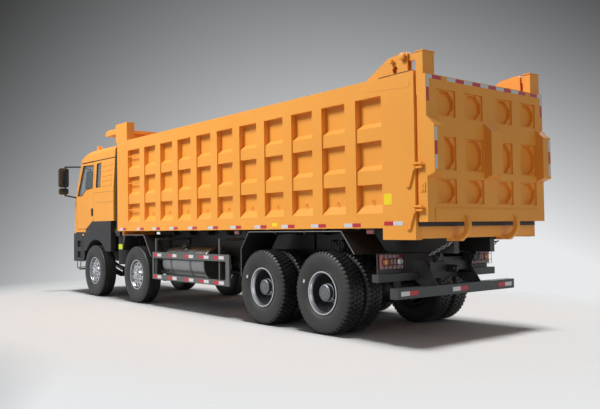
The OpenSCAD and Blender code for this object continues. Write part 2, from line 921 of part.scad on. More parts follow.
module door_glass_right() {
    color([0.25, 0.32, 0.34, 0.6]) place() right_hand() door_pane();
}

// hinge lug under a bed beam, bored for the bed's hinge pin
module bed_hinge_lug() {
    difference() {
        side_view(rail_y - 88, rail_y - 42)
            union() {
                translate([bed_hinge_x, bed_hinge_z]) circle(r = 52);
                translate([bed_hinge_x - 52, bed_hinge_z]) square([104, beam_z + 40 - bed_hinge_z]);
            }
        rod_y(bed_hinge_x, bed_hinge_z, 40 + run_fit, 0, rail_y);
    }
}

module bed_floor() {
    color(paint) place() difference() {
        union() {
            block(-bed_tail, wall_x, -side_in, side_in, floor_top - 12, floor_top);
            for (i = [0 : rib_count - 1])
                front_view(rib_x(i) - rib_w / 2 - 40, rib_x(i) - rib_w / 2 + 40)
                    polygon([[-side_in, floor_top], [-side_in, floor_top - 55], [-560, floor_top - 55],
                        [-520, floor_top - 130], [520, floor_top - 130], [560, floor_top - 55],
                        [side_in, floor_top - 55], [side_in, floor_top]]);
            both_sides() {
                block(-bed_tail + 90, wall_x, rail_y - 110, rail_y - 15, beam_z, floor_top - 10);
                bed_hinge_lug();
            }
            block(-bed_tail, -bed_tail + 90, -side_in, side_in, bed_bottom - 130, floor_top);
            both_sides() block(-bed_tail - 10, -bed_tail + 120, 440, 560, bed_bottom - 170, bed_bottom - 120);
        }
        block(wall_x - 430, wall_x + 1, -215, 215, beam_z - 10, floor_top + 1);
    }
}

// panel section of a side wall: rails, two bands with sloped tops, recesses
module side_section() {
    k = bed_h / 1862;
    out = bed_w / 2;
    band = out - 18;
    deep = out - panel_d;
    function up(h) = bed_bottom + h * k;
    polygon([[side_in, bed_bottom], [out, bed_bottom], [out, up(185)], [deep, up(292)], [deep, up(549)],
        [band, up(549)], [band, up(725)], [deep, up(794)], [deep, up(1095)], [band, up(1095)],
        [band, up(1265)], [deep, up(1328)], [deep, up(1643)], [out, up(1643)], [out, bed_top],
        [side_in, bed_top]]);
}

// ear plates on the wall top that hold the tailgate's pin
module gate_ear() {
    for (y = [[side_in + 4, side_in + 24], [side_in + 64, side_in + 84]])
        side_view(y[0], y[1])
            difference() {
                polygon([[gate_pin_x + 662, bed_top], [gate_pin_x + 258, bed_top + 220],
                    [gate_pin_x - 32, bed_top + 250], [gate_pin_x - 62, bed_top + 230], [gate_pin_x - 62, bed_top]]);
                translate([gate_pin_x + 140, bed_top + 60]) circle(r = 45);
            }
    rod_y(gate_pin_x, gate_pin_z, 28, side_in + 4, side_in + 90);
}

// latch on the rear post: pivot boss, two jaws beside the gate, handle with a curled foot
module side_latch(z) {
    face = bed_w / 2;
    x = -bed_tail + 11;
    lean = 71;
    grip = 202;
    foot_r = 35;
    foot = [x + grip * cos(lean) + foot_r * sin(lean), z - grip * sin(lean) + foot_r * cos(lean)];
    rod_y(x, z, 32, face - 5, face + 28);
    for (h = [-8, 40])
        block(-bed_tail - 118, x + 40, face - 1, face + 20, z + h, z + h + 26);
    block(-bed_tail, x + 36, face - 5, face + 18, z - 20, z + 70);
    side_view(face - 1, face + 24) union() {
        translate([x, z]) rotate(-lean) translate([0, -12]) square([grip + 9, 24]);
        intersection() {
            translate(foot) difference() {
                circle(r = foot_r + 13);
                circle(r = foot_r - 13);
            }
            translate(foot - [60, 60]) square([120, 60 - foot_r * cos(lean)]);
        }
    }
}

// rope hook: stub out of a panel's face, bent down
module rope_hook(x) {
    out = bed_w / 2 - panel_d + 12;
    z = bed_bottom + 350;
    rod_y(x, z, hook_r, out - 17, out + 1);
    translate([x, out, z - hook_bend]) rotate([90, 0, 90])
        rotate_extrude(angle = 90) translate([hook_bend, 0]) circle(r = hook_r - bend_less);
    translate([x, out + hook_bend, z - hook_bend - 24]) cylinder(r = hook_r, h = 25);
}

module bed_side() {
    union() {
        front_view(-bed_tail, bed_front) side_section();
        block(bed_front - front_post, bed_front, side_in + 5, bed_w / 2, bed_bottom, bed_top);
        block(-bed_tail, -bed_tail + rear_post, side_in + 5, bed_w / 2, bed_bottom, bed_top);
        block(-bed_tail, -bed_tail + rear_post, side_in, bed_w / 2, bed_bottom - 143, bed_bottom + 5);
        for (i = [0 : rib_count - 1])
            block(rib_x(i) - rib_w, rib_x(i), side_in + 5, bed_w / 2, bed_bottom, bed_top);
        block(bed_front - 450, bed_front + 88, bed_w / 2 - 180, bed_w / 2 - 10, bed_top, bed_top + 383);
        gate_ear();
        for (h = [200, 704])
            side_latch(bed_bottom + h);
        for (i = [0 : rib_count - 1])
            rope_hook(rib_x(i) - (rib_w + rib_pitch) / 2);
        for (h = [425, 969, 1515])
            rod_x(bed_w / 2 - 26, bed_bottom + h * bed_h / 1862, 11, rib_x(0) - 5, bed_front - front_post + 5);
    }
}

module bed_side_left() {
    color(paint) place() bed_side();
}

module bed_side_right() {
    color(paint) place() right_hand() bed_side();
}

// front wall with the sloped niche that clears the hoist when the bed is up
module bed_front_wall() {
    niche_top = bed_top - 600;
    color(paint) place() union() {
        difference() {
            block(wall_x, bed_front, -side_in, side_in, beam_z + 235, bed_top);
            block(wall_x - 1, bed_front + 1, -200, 200, beam_z, niche_top);
        }
        both_sides() side_view(200, 214)
            polygon([[wall_x - 420, floor_top - 12], [wall_x + 5, floor_top - 12], [wall_x + 5, niche_top],
                [wall_x - 60, niche_top]]);
        side_view(-214, 214)
            polygon([[wall_x - 430, floor_top - 12], [wall_x - 418, floor_top - 12], [wall_x - 58, niche_top],
                [wall_x + 5, niche_top], [wall_x + 5, niche_top + 14], [wall_x - 68, niche_top + 14]]);
        both_sides() side_view(70, 100)
            polygon([[bed_front - 5, hoist_pin_z - 160], [hoist_x, hoist_pin_z - 60], [hoist_x + 55, hoist_pin_z - 40],
                [hoist_x + 55, hoist_pin_z + 55], [bed_front - 5, hoist_pin_z + 160]]);
        both_sides() rod_y(hoist_x, hoist_pin_z, 35, 46, 105);
        for (y = [-900, -500, 500, 900])
            block(bed_front - 5, bed_front + 45, y - 45, y + 45, beam_z + 235, bed_top);
        block(wall_x + 40, bed_front, -bed_w / 2 + 180, bed_w / 2 - 180, bed_top, bed_top + 275);
        block(wall_x - 20, bed_front + 610, -bed_w / 2 + 180, bed_w / 2 - 180, bed_top + 190, bed_top + 205);
        block(bed_front + 560, bed_front + 610, -bed_w / 2 + 21, bed_w / 2 - 21, bed_top + 190, bed_top + 260);
        both_sides() side_view(bed_w / 2 - 60, bed_w / 2 - 20)
            polygon([[bed_front + 88, bed_top + 190], [bed_front + 620, bed_top + 190], [bed_front + 650, bed_top + 215],
                [bed_front + 650, bed_top + 235], [bed_front + 560, bed_top + 310], [bed_front + 88, bed_top + 310]]);
        block(bed_front + 88, bed_front + 610, -bed_w / 2 + 20, bed_w / 2 - 20, bed_top + 190, bed_top + 205);
    }
}

// pocket pressed into the gate: shallow rectangle with a deeper eight-cornered floor
module gate_pocket(y0, y1, z0, z1) {
    s = 14;
    c = s + 95;
    front_view(gate_out - 2, gate_out + 24) translate([y0, z0]) square([y1 - y0, z1 - z0]);
    front_view(gate_out - 1, gate_out + 76)
        polygon([[y0 + c, z0 + s], [y1 - c, z0 + s], [y1 - s, z0 + c], [y1 - s, z1 - c], [y1 - c, z1 - s],
            [y0 + c, z1 - s], [y0 + s, z1 - c], [y0 + s, z0 + c]]);
}

// box stiffener with sloped ends, standing out behind the gate
module gate_stiffener(y0, y1) {
    side_view(y0, y1)
        polygon([[gate_out + 5, bed_bottom + 595], [gate_out - stiff_d, bed_bottom + 640],
            [gate_out - stiff_d, bed_bottom + 1190], [gate_out + 5, bed_bottom + 1310]]);
}

// hook that holds the gate shut: crescent with a round boss at each end
module lock_claw(y) {
    middle = [gate_in - 10, bed_bottom + 25];
    mean_r = 160;
    ends = [130, 256];
    side_view(y - 32, y + 32) intersection() {
        translate(middle) difference() {
            circle(r = mean_r + 30);
            circle(r = mean_r - 30);
        }
        polygon([middle, middle + 400 * [cos(ends[0]), sin(ends[0])], middle - [400, 0],
            middle + 400 * [cos(ends[1]), sin(ends[1])]]);
    }
    for (a = ends)
        rod_y(middle[0] + mean_r * cos(a), middle[1] + mean_r * sin(a), 40, y - 42, y + 42);
}

module tailgate() {
    half = gate_w / 2;
    k = bed_h / 1862;
    rows = [[280, 583], [680, 1083], [1320, 1643]];
    columns = [[130, 490], [660, 1020]];
    color(paint) place() difference() {
        union() {
            difference() {
                block(gate_out, gate_in, -half, half, gate_bottom, gate_top);
                for (row = rows, column = columns)
                    both_sides()
                        gate_pocket(column[0], column[1], bed_bottom + row[0] * k, bed_bottom + row[1] * k);
            }
            block(gate_out - 10, gate_out + 5, -half + 130, half - 130, gate_bottom + 5, bed_bottom + 225);
            gate_stiffener(-115, 115);
            both_sides() {
                gate_stiffener(half - 175, half);
                block(gate_out + 40, gate_in + 10, half - 204, half, gate_top - 240, gate_pin_z + 20);
                side_view(side_in + 30, side_in + 58) union() {
                    translate([gate_pin_x, gate_pin_z]) circle(r = 58);
                    translate([gate_in, gate_pin_z - 58]) square([gate_pin_x - gate_in, 76]);
                }
                block(gate_out + 30, gate_in + 20, half - 214, half + 6, gate_pin_z + 19, gate_pin_z + 32);
                block(gate_out + 30, gate_in - 30, half - 5, half + 10, bed_bottom + 420, bed_bottom + 530);
                for (h = [450, 500])
                    rod_y((gate_in + gate_out) / 2, bed_bottom + h, 16, half, half + 17);
                lock_claw(500);
            }
        }
        both_sides() rod_y(gate_pin_x, gate_pin_z, 28 + run_fit, 900, bed_w / 2);
    }
}

// one tube of the hoist between two heights above its foot pin
module hoist_tube(r, bore, z0, z1, collar) {
    translate([hoist_x, 0, 0]) difference() {
        union() {
            translate([0, 0, hoist_foot_z + z0]) cylinder(r = r, h = z1 - z0);
            translate([0, 0, hoist_foot_z + z1 - 26]) cylinder(r = collar, h = 26);
        }
        translate([0, 0, hoist_foot_z + z0 - 1]) cylinder(r = bore, h = z1 - z0 + 2);
    }
}

module hoist_barrel() {
    color(steel) place() {
        difference() {
            union() {
                hoist_tube(112, 100.5, 90, 1720, 122);
                translate([hoist_x, 0, hoist_foot_z + 75]) cylinder(r = 112, h = 20);
                rod_y(hoist_x, hoist_foot_z, 72, -60, 60);
                translate([hoist_x - 60, -60, hoist_foot_z]) cube([120, 120, 80]);
            }
            rod_y(hoist_x, hoist_foot_z, 40 + run_fit, -80, 80);
        }
    }
}

module hoist_stage_1() {
    color(silver) place() hoist_tube(100, 88.5, 98, 1755, 104);
}

module hoist_stage_2() {
    color(silver) place() hoist_tube(88, 76.5, 98, 1790, 92);
}

module hoist_stage_3() {
    color(silver) place() hoist_tube(76, 64.5, 98, 1825, 80);
}

module hoist_rod() {
    color(silver) place() difference() {
        union() {
            translate([hoist_x, 0, hoist_foot_z + 98]) cylinder(r = 64, h = hoist_pin_z - hoist_foot_z - 178);
            block(hoist_x - 45, hoist_x + 45, -40, 40, hoist_pin_z - 90, hoist_pin_z - 45);
            rod_y(hoist_x, hoist_pin_z, 66, -40, 40);
        }
        rod_y(hoist_x, hoist_pin_z, 36, -80, 80);
    }
}

// steering knuckle: kingpin, yoke lugs above and below the beam's eye, spindle
module knuckle(x) {
    translate([x, kingpin_y, axle_z - 125]) cylinder(r = 25, h = 250);
    for (z = [-118, 66])
        translate([x, kingpin_y, axle_z + z]) cylinder(r = 46, h = 52);
    difference() {
        block(x - 46, x + 46, kingpin_y, kingpin_y + 78, axle_z - 118, axle_z + 118);
        translate([x, kingpin_y, axle_z - 66]) cylinder(r = 52, h = 132);
        block(x - 60, x + 60, kingpin_y - 10, kingpin_y + 30, axle_z - 66, axle_z + 66);
    }
    rod_y(x, axle_z, 185, kingpin_y + 60, kingpin_y + 72);
    rod_y(x, axle_z, spindle_r, kingpin_y + 60, steer_y + 50);
}

module knuckle_1_left() {
    color(black) place() knuckle(ax1);
}

module knuckle_1_right() {
    color(black) place() right_hand() knuckle(ax1);
}

module knuckle_2_left() {
    color(black) place() knuckle(ax2);
}

module knuckle_2_right() {
    color(black) place() right_hand() knuckle(ax2);
}

// half section of a tyre: flat tread, round shoulder, bulging sidewall
module tyre_section(h) {
    depth = tyre_r - rim_r;
    function bulge(t) = tyre_w / 2 - (tyre_w / 2 - bead_h) * pow(abs(t - 0.55) / 0.55, 2);
    outer = concat([[rim_r, bead_h]], [for (t = [0.05, 0.125, 0.25, 0.375, 0.5, 0.625, 0.75, 0.875])
            [rim_r + t * depth, t < 0.1 ? bead_h : bulge(t)]],
        [[tyre_r - 14, tyre_w * 0.432], [tyre_r, tyre_w * 0.39]]);
    translate([0, h]) polygon(concat(outer, flipped([for (p = outer) [p[0], -p[1]]])));
}

module steer_tyre(x) {
    color(black) place() spun(x, steer_y) tyre_section(0);
}

module twin_tyres(x) {
    color(black) place()
        for (h = [-twin_pitch / 2, twin_pitch / 2])
            spun(x, twin_y) tyre_section(h);
}

module tyre_1_left() { steer_tyre(ax1); }
module tyre_2_left() { steer_tyre(ax2); }
module tyre_1_right() { right_hand() steer_tyre(ax1); }
module tyre_2_right() { right_hand() steer_tyre(ax2); }
module tyres_3_left() { twin_tyres(ax3); }
module tyres_4_left() { twin_tyres(ax4); }
module tyres_3_right() { right_hand() twin_tyres(ax3); }
module tyres_4_right() { right_hand() twin_tyres(ax4); }

// rim barrel with both flanges, its middle h along the axle
module rim_barrel(h) {
    translate([0, h]) polygon([[rim_r - 14, -bead_h - 14], [rim_r + 8, -bead_h - 14], [rim_r + 8, -bead_h - seat],
        [rim_r - seat, -bead_h - seat], [rim_r - seat, bead_h + seat], [rim_r + 8, bead_h + seat],
        [rim_r + 8, bead_h + 14], [rim_r - 14, bead_h + 14]]);
}

module steer_rim(x) {
    color(silver) place() difference() {
        union() {
            spun(x, steer_y) rim_barrel(0);
            spun(x, steer_y) polygon([[60, 96], [150, 96], [225, 84], [rim_r - 18, 40], [rim_r - 10, 40],
                [rim_r - 10, 58], [238, 100], [152, 112], [60, 112]]);
            spun(x, steer_y) polygon([[0, 62], [spindle_r + run_fit, 62], [spindle_r + run_fit, -60], [90, -60],
                [110, -20], [110, 118], [86, 130], [82, 146], [70, 152], [0, 152]]);
            spun(x, steer_y) polygon([[100, 0], [190, 0], [190, -88], [208, -88], [208, 16], [100, 16]]);
        }
        for (a = [0 : 360 / hand_holes : 359])
            translate([x, steer_y, axle_z]) rotate([-90, 0, 0]) rotate([0, 0, a])
                translate([205, 0, 30]) cylinder(r = 28, h = 110);
    }
}

module twin_rims(x) {
    half = twin_pitch / 2;
    color(steel) place() difference() {
        union() {
            for (h = [-half, half])
                spun(x, twin_y) rim_barrel(h);
            spun(x, twin_y) polygon([[100, -16], [240, -16], [rim_r - 24, -80], [rim_r - 8, -80], [rim_r - 8, -62],
                [rim_r - 16, -62], [254, 0], [rim_r - 16, 62], [rim_r - 8, 62], [rim_r - 8, 80], [rim_r - 24, 80],
                [240, 16], [100, 16]]);
            spun(x, twin_y) polygon([[0, 36], [axle_end_r + run_fit, 36], [axle_end_r + run_fit, -230], [115, -230],
                [125, -200], [125, 20], [118, 24], [118, 120], [104, 134], [0, 134]]);
            spun(x, twin_y) polygon([[110, -60], [190, -60], [190, -290], [208, -290], [208, -40], [110, -40]]);
        }
        for (a = [0 : 36 : 359])
            translate([x, twin_y, axle_z]) rotate([-90, 0, 0]) rotate([0, 0, a])
                translate([200, 0, -30]) cylinder(r = 26, h = 60);
    }
}

module rim_1_left() { steer_rim(ax1); }
module rim_2_left() { steer_rim(ax2); }
module rim_1_right() { right_hand() steer_rim(ax1); }
module rim_2_right() { right_hand() steer_rim(ax2); }
module rims_3_left() { twin_rims(ax3); }
module rims_4_left() { twin_rims(ax4); }
module rims_3_right() { right_hand() twin_rims(ax3); }
module rims_4_right() { right_hand() twin_rims(ax4); }

frame();
hoist_cradle();
steer_axles();
drive_axles();
springs();
powertrain();
tanks();
tank_straps();
side_guards();
mudguards();
rear_bars();
tail_lamps();
lock_chains();
cab_shell();
cab_roof();
cab_front();
cab_glass();
cab_fenders();
front_bumper();
headlamps();
mirrors();
sun_visor();
beacon();
air_intake();
seats();
dashboard();
door_left();
door_glass_left();
door_right();
door_glass_right();
bed_floor();
bed_side_left();
bed_side_right();
bed_front_wall();
tailgate();
hoist_barrel();
hoist_stage_1();
hoist_stage_2();
hoist_stage_3();
hoist_rod();
knuckle_1_left();
knuckle_1_right();
knuckle_2_left();
knuckle_2_right();
tyre_1_left();
tyre_1_right();
tyre_2_left();
tyre_2_right();
rim_1_left();
rim_1_right();
rim_2_left();
rim_2_right();
tyres_3_left();
tyres_3_right();
tyres_4_left();
tyres_4_right();
rims_3_left();
rims_3_right();
rims_4_left();
rims_4_right();
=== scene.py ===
"""Dresses the dump truck's frame for a studio picture.

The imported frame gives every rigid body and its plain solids.  The classes
below paint those solids and add what a maker fits last: tread blocks, wheel
nuts, reflective tape, lamps, chain links, pipes and handles.
"""

import logging
import math
from dataclasses import dataclass, field
from enum import Enum
from typing import Iterable, Sequence

import bpy
from mathutils import Matrix, Vector


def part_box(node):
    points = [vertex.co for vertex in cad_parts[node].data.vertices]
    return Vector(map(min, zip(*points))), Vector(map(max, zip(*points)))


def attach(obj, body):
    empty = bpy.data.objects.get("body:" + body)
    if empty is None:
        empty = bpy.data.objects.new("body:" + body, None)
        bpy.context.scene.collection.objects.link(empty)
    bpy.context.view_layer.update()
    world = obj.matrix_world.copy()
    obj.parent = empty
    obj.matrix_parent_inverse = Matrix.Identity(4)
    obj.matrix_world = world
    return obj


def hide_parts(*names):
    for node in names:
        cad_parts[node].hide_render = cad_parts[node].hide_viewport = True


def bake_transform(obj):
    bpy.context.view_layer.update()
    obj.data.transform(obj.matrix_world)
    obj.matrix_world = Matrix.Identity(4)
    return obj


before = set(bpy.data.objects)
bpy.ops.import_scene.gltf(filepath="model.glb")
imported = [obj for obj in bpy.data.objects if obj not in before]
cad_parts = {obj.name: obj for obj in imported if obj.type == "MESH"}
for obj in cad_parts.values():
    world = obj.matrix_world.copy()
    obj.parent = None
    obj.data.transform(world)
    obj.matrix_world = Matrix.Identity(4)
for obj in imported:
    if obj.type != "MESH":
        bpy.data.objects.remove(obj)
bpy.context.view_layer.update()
LOG = logging.getLogger("dump_truck")

Point = tuple[float, float, float]
Flat = tuple[float, float]
Colour = tuple[float, float, float, float]

# a box's corners are numbered round its foot, then round its top
BOX_FACES = ((3, 2, 1, 0), (4, 5, 6, 7), (0, 1, 5, 4), (1, 2, 6, 5), (2, 3, 7, 6), (3, 0, 4, 7))
# sides of a nut or bolt head
HEX = 6
# edge rounding of small fittings, in metres
TRIM_BEVEL = 0.004
# contrast of the cloud pattern, and what is taken off it
CLOUD_CONTRAST = 2.4
CLOUD_START = 0.7
# how far the cloud pattern moves a finish's roughness either way
GLOSS_SPREAD = 0.08
BUMP_STRENGTH = 0.6
# steepness of the edge between enamel and the near-black lower part, per metre
EDGE_SHARPNESS = 2000
# distance of a tyre's bead from its middle, as a share of the width
SEAT_SHARE = 0.36


class Side(Enum):
    """Left and right of the truck, as the sign of Y."""

    LEFT = 1
    RIGHT = -1

    @property
    def word(self) -> str:
        """The side's name as the bodies spell it."""
        return self.name.lower()


def srgb(red: int, green: int, blue: int) -> Colour:
    """Turns a colour as a screen shows it into the shader's linear form.

    Args:
        red: 0 to 255.
        green: 0 to 255.
        blue: 0 to 255.

    Returns:
        Linear red, green, blue and an alpha of one.
    """
    parts = [channel / 255 for channel in (red, green, blue)]
    linear = [p / 12.92 if p <= 0.04045 else ((p + 0.055) / 1.055) ** 2.4 for p in parts]
    return (linear[0], linear[1], linear[2], 1.0)


class Sock:
    """A shader socket that can be used in Python expressions."""

    def __init__(self, graph: "Graph", socket: bpy.types.NodeSocket) -> None:
        """Keeps the socket with the graph that it belongs to."""
        self.graph = graph
        self.socket = socket

    def _math(self, operation: str, first: "Value", second: "Value") -> "Sock":
        """Adds one Math node."""
        return self.graph.node("ShaderNodeMath", {"operation": operation}, {0: first, 1: second})

    def __add__(self, other: "Value") -> "Sock":
        """Sum."""
        return self._math("ADD", self, other)

    def __radd__(self, other: "Value") -> "Sock":
        """Sum with the number first."""
        return self._math("ADD", other, self)

    def __sub__(self, other: "Value") -> "Sock":
        """Difference."""
        return self._math("SUBTRACT", self, other)

    def __rsub__(self, other: "Value") -> "Sock":
        """Difference with the number first."""
        return self._math("SUBTRACT", other, self)

    def __mul__(self, other: "Value") -> "Sock":
        """Product."""
        return self._math("MULTIPLY", self, other)

    def __rmul__(self, other: "Value") -> "Sock":
        """Product with the number first."""
        return self._math("MULTIPLY", other, self)

    def __truediv__(self, other: "Value") -> "Sock":
        """Quotient."""
        return self._math("DIVIDE", self, other)

    def __rtruediv__(self, other: "Value") -> "Sock":
        """Quotient with the number first."""
        return self._math("DIVIDE", other, self)

    def clamp(self) -> "Sock":
        """The value held between zero and one."""
        return self.graph.node("ShaderNodeClamp", {}, {"Value": self})


Value = Sock | float


def sum_of(parts: Iterable[Sock]) -> Sock:
    """Adds several sockets.

    Args:
        parts: At least one socket.

    Returns:
        Their sum.
    """
    first, *others = parts
    for other in others:
        first = first + other
    return first


class Graph:
    """The node tree of a material or of the world, built by one method."""

    def __init__(self, owner: bpy.types.Material | bpy.types.World) -> None:
        """Empties the owner's tree and gives it an output node.

        Args:
            owner: The material or world.
        """
        self.owner = owner
        owner.use_nodes = True
        self.tree = owner.node_tree
        self.tree.nodes.clear()
        kind = "World" if isinstance(owner, bpy.types.World) else "Material"
        self.output = self.tree.nodes.new(f"ShaderNodeOutput{kind}")

    def node(self, kind: str, settings: dict, values: dict, out: int | str = 0) -> Sock:
        """Adds a node.

        Args:
            kind: The node's Blender type.
            settings: Attributes, set first.
            values: Socket names or numbers with a value or a link for each.
            out: The output that is wanted.

        Returns:
            That output, wrapped.
        """
        made = self.tree.nodes.new(kind)
        for key, setting in settings.items():
            setattr(made, key, setting)
        for key, value in values.items():
            if isinstance(value, Sock):
                self.tree.links.new(value.socket, made.inputs[key])
            else:
                made.inputs[key].default_value = value
        return Sock(self, made.outputs[out])

    def coordinates(self) -> Sock:
        """Position on the object, in metres."""
        return self.node("ShaderNodeTexCoord", {}, {}, "Object")

    def noise(self, scale: float, detail: float = 3.0) -> Sock:
        """Cloudy pattern between zero and one."""
        values = {"Vector": self.coordinates(), "Scale": scale, "Detail": detail}
        return self.node("ShaderNodeTexNoise", {}, values)

    def dot(self, first: Sock, second: Vector) -> Sock:
        """Length of a vector along a fixed direction."""
        values = {0: first, 1: tuple(second)}
        return self.node("ShaderNodeVectorMath", {"operation": "DOT_PRODUCT"}, values, "Value")

    def length(self, vector: Sock) -> Sock:
        """Length of a vector."""
        return self.node("ShaderNodeVectorMath", {"operation": "LENGTH"}, {0: vector}, "Value")

    def mix(self, factor: Value, first: tuple | Sock, second: tuple | Sock) -> Sock:
        """Blend of two colours.

        Args:
            factor: How much of the second.
            first: Colour at zero.
            second: Colour at one.

        Returns:
            The blended colour.
        """
        return self.node("ShaderNodeMix", {"data_type": "RGBA"}, {0: factor, 6: first, 7: second}, 2)

    def finish(self, shader: Sock) -> bpy.types.Material | bpy.types.World:
        """Joins the shader to the output and gives back the owner."""
        self.tree.links.new(shader.socket, self.output.inputs["Surface"])
        return self.owner


@dataclass(frozen=True)
class Finish:
    """A plain finish with a little cloudiness in colour and gloss.

    Attributes:
        name: Material name.
        slot: Slot of the record that it stands for; not used.
        colour: Main colour.
        roughness: Mean roughness.
        metallic: One for bare metal.
        cloud: Colour that the cloud pattern blends toward.
        cloud_share: Most of that colour that is used.
        cloud_scale: Blobs to the metre.
        specular: Strength of the gloss under the coat.
        coat: Clear coat weight.
        coat_roughness: Roughness of that coat.
        grain: Depth of the bump in metres.
        grain_scale: Bumps to the metre.
    """

    name: str
    slot: str
    colour: Colour
    roughness: float = 0.5
    metallic: float = 0.0
    cloud: Colour | None = None
    cloud_share: float = 0.2
    cloud_scale: float = 3.0
    specular: float = 0.5
    coat: float = 0.0
    coat_roughness: float = 0.12
    grain: float = 0.0
    grain_scale: float = 300.0

    def material(self) -> bpy.types.Material:
        """The material, made once."""
        known = bpy.data.materials.get(self.name)
        return known if known else self._make()

    def _base(self, graph: Graph, pattern: Sock) -> Sock | Colour:
        """Base colour, clouded where the finish has a second one.

        Args:
            graph: The material's graph.
            pattern: Cloud pattern between zero and one.

        Returns:
            A colour or a socket with one.
        """
        if self.cloud is None:
            return self.colour
        share = (pattern * CLOUD_CONTRAST - CLOUD_START).clamp() * self.cloud_share
        return graph.mix(share, self.colour, self.cloud)

    def _make(self) -> bpy.types.Material:
        """Builds the nodes.

        Returns:
            The new material.
        """
        graph = Graph(bpy.data.materials.new(self.name))
        pattern = graph.noise(self.cloud_scale)
        values = {
            "Metallic": self.metallic,
            "Specular IOR Level": self.specular,
            "Coat Weight": self.coat,
            "Coat Roughness": self.coat_roughness,
            "Roughness": (self.roughness - GLOSS_SPREAD) + pattern * (2 * GLOSS_SPREAD),
            "Base Color": self._base(graph, pattern),
        }
        if self.grain:
            bumps = graph.noise(self.grain_scale, 2.0)
            relief = {"Height": bumps, "Distance": self.grain, "Strength": BUMP_STRENGTH}
            values["Normal"] = graph.node("ShaderNodeBump", {}, relief)
        return graph.finish(graph.node("ShaderNodeBsdfPrincipled", {}, values))


@dataclass(frozen=True)
class HalfPainted(Finish):
    """Enamel on a solid, near-black below a height and ahead of a line.

    Attributes:
        node: The solid.
        lower_colour: The near-black colour of the lower part.
        height: The near-black colour shows below this height.
        ahead: And ahead of this place, from the last axle.
    """

    node: str = ""
    lower_colour: Colour = srgb(30, 30, 31)
    height: float = 0.0
    ahead: float = 0.0

    def _base(self, graph: Graph, pattern: Sock) -> Sock:
        """Enamel or the near-black colour, by the place on the solid.

        Args:
            graph: The material's graph.
            pattern: Cloud pattern between zero and one.

        Returns:
            The colour.
        """
        enamel = super()._base(graph, pattern)
        corner = Vector((last_axle() + self.ahead, 0, self.height))
        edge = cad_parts[self.node].matrix_world.inverted() @ corner
        place = {"Vector": graph.coordinates()}
        along, up = (graph.node("ShaderNodeSeparateXYZ", {}, place, axis) for axis in "XZ")
        below = ((edge.z - up) * EDGE_SHARPNESS).clamp()
        forward = ((along - edge.x) * EDGE_SHARPNESS).clamp()
        return graph.mix(below * forward, enamel, self.lower_colour)


@dataclass(frozen=True)
class Pane(Finish):
    """Tinted safety glass, part mirror and part clear.

    Attributes:
        clear: Share of the light that passes straight through.
        index: Refractive index of the mirror part.
        cast: Colour of what is seen through it.
    """

    clear: float = 0.45
    index: float = 1.6
    cast: Colour = (0.75, 0.8, 0.8, 1.0)

    def _make(self) -> bpy.types.Material:
        """Builds the nodes.

        Returns:
            The new material.
        """
        graph = Graph(bpy.data.materials.new(self.name))
        gloss = {"Base Color": self.colour, "Roughness": self.roughness, "IOR": self.index}
        gloss["Coat Weight"] = 1.0
        mirror = graph.node("ShaderNodeBsdfPrincipled", {}, gloss)
        through = graph.node("ShaderNodeBsdfTransparent", {}, {"Color": self.cast})
        return graph.finish(graph.node("ShaderNodeMixShader", {}, {0: self.clear, 1: mirror, 2: through}))


PAINT = Finish(
    "yellow enamel", "yellow_paint", srgb(241, 164, 68), 0.5, cloud=srgb(234, 154, 58),
    cloud_share=0.5, cloud_scale=1.4, specular=0.25, coat=0.12, coat_roughness=0.35,
)
# the bed floor's beams are near-black below the floor and ahead of its rear edge, enamel elsewhere
FLOOR_PAINT = HalfPainted(
    "enamel over dark underside", "yellow_paint", srgb(241, 164, 68), 0.45,
    node="bed_floor", height=1.434, ahead=-1.632,
)
CHASSIS = Finish(
    "chassis black", "chassis_black", srgb(26, 26, 28), 0.5, cloud=srgb(50, 49, 47), cloud_share=0.4,
    cloud_scale=4,
)
PLASTIC = Finish(
    "grained black plastic", "black_plastic", srgb(22, 22, 24), 0.55, cloud=srgb(36, 36, 38), grain=0.0006,
    grain_scale=700,
)
RUBBER = Finish(
    "tyre rubber", "tyre_black", srgb(25, 26, 26), 0.52, cloud=srgb(54, 53, 51), cloud_share=0.4,
    cloud_scale=5, grain=0.0008, grain_scale=420,
)
POLISHED = Finish("polished disc", "wheel_silver", srgb(190, 192, 195), 0.22, 1.0, cloud=srgb(140, 142, 146))
WHEEL_GREY = Finish("wheel grey", "wheel_grey", srgb(66, 67, 70), 0.45, 0.2, cloud=srgb(44, 44, 46))
BRIGHT = Finish("bright flange", "wheel_silver", srgb(196, 198, 202), 0.3, 0.9)
ALUMINIUM = Finish(
    "rolled aluminium", "aluminium", srgb(150, 151, 151), 0.34, 1.0, cloud=srgb(112, 113, 114), cloud_scale=6
)
STEEL = Finish("bare steel", "plain_steel", srgb(120, 122, 126), 0.42, 0.85, cloud=srgb(84, 84, 86))
PLATED = Finish("plated tube", "plated_steel", srgb(208, 210, 214), 0.16, 1.0)
GUARD_GREY = Finish("guard grey", "guard_grey", srgb(84, 87, 84), 0.5, cloud=srgb(102, 104, 100))
TAPE_RED = Finish("red tape", "lamp_red", srgb(186, 34, 46), 0.3)
TAPE_WHITE = Finish("white tape", "lamp_clear", srgb(206, 207, 210), 0.3)
LAMP_RED = Finish("red lens", "lamp_red", srgb(112, 14, 18), 0.14, coat=1.0)
LAMP_AMBER = Finish("amber lens", "lamp_amber", srgb(238, 140, 24), 0.14, coat=1.0)
LAMP_CLEAR = Finish("clear lens", "lamp_clear", srgb(222, 226, 230), 0.1, coat=1.0)
STICKER = Finish("blank sticker", "yellow_paint", srgb(246, 214, 30), 0.4)
SEAL = Finish("black seal", "black_plastic", srgb(22, 22, 23), 0.6)
BAR_GREY = Finish("bar grey", "chassis_black", srgb(52, 55, 56), 0.45, cloud=srgb(41, 43, 45), cloud_scale=5)
PALE_EDGE = Finish("pale guard edge", "guard_grey", srgb(122, 124, 126), 0.45)
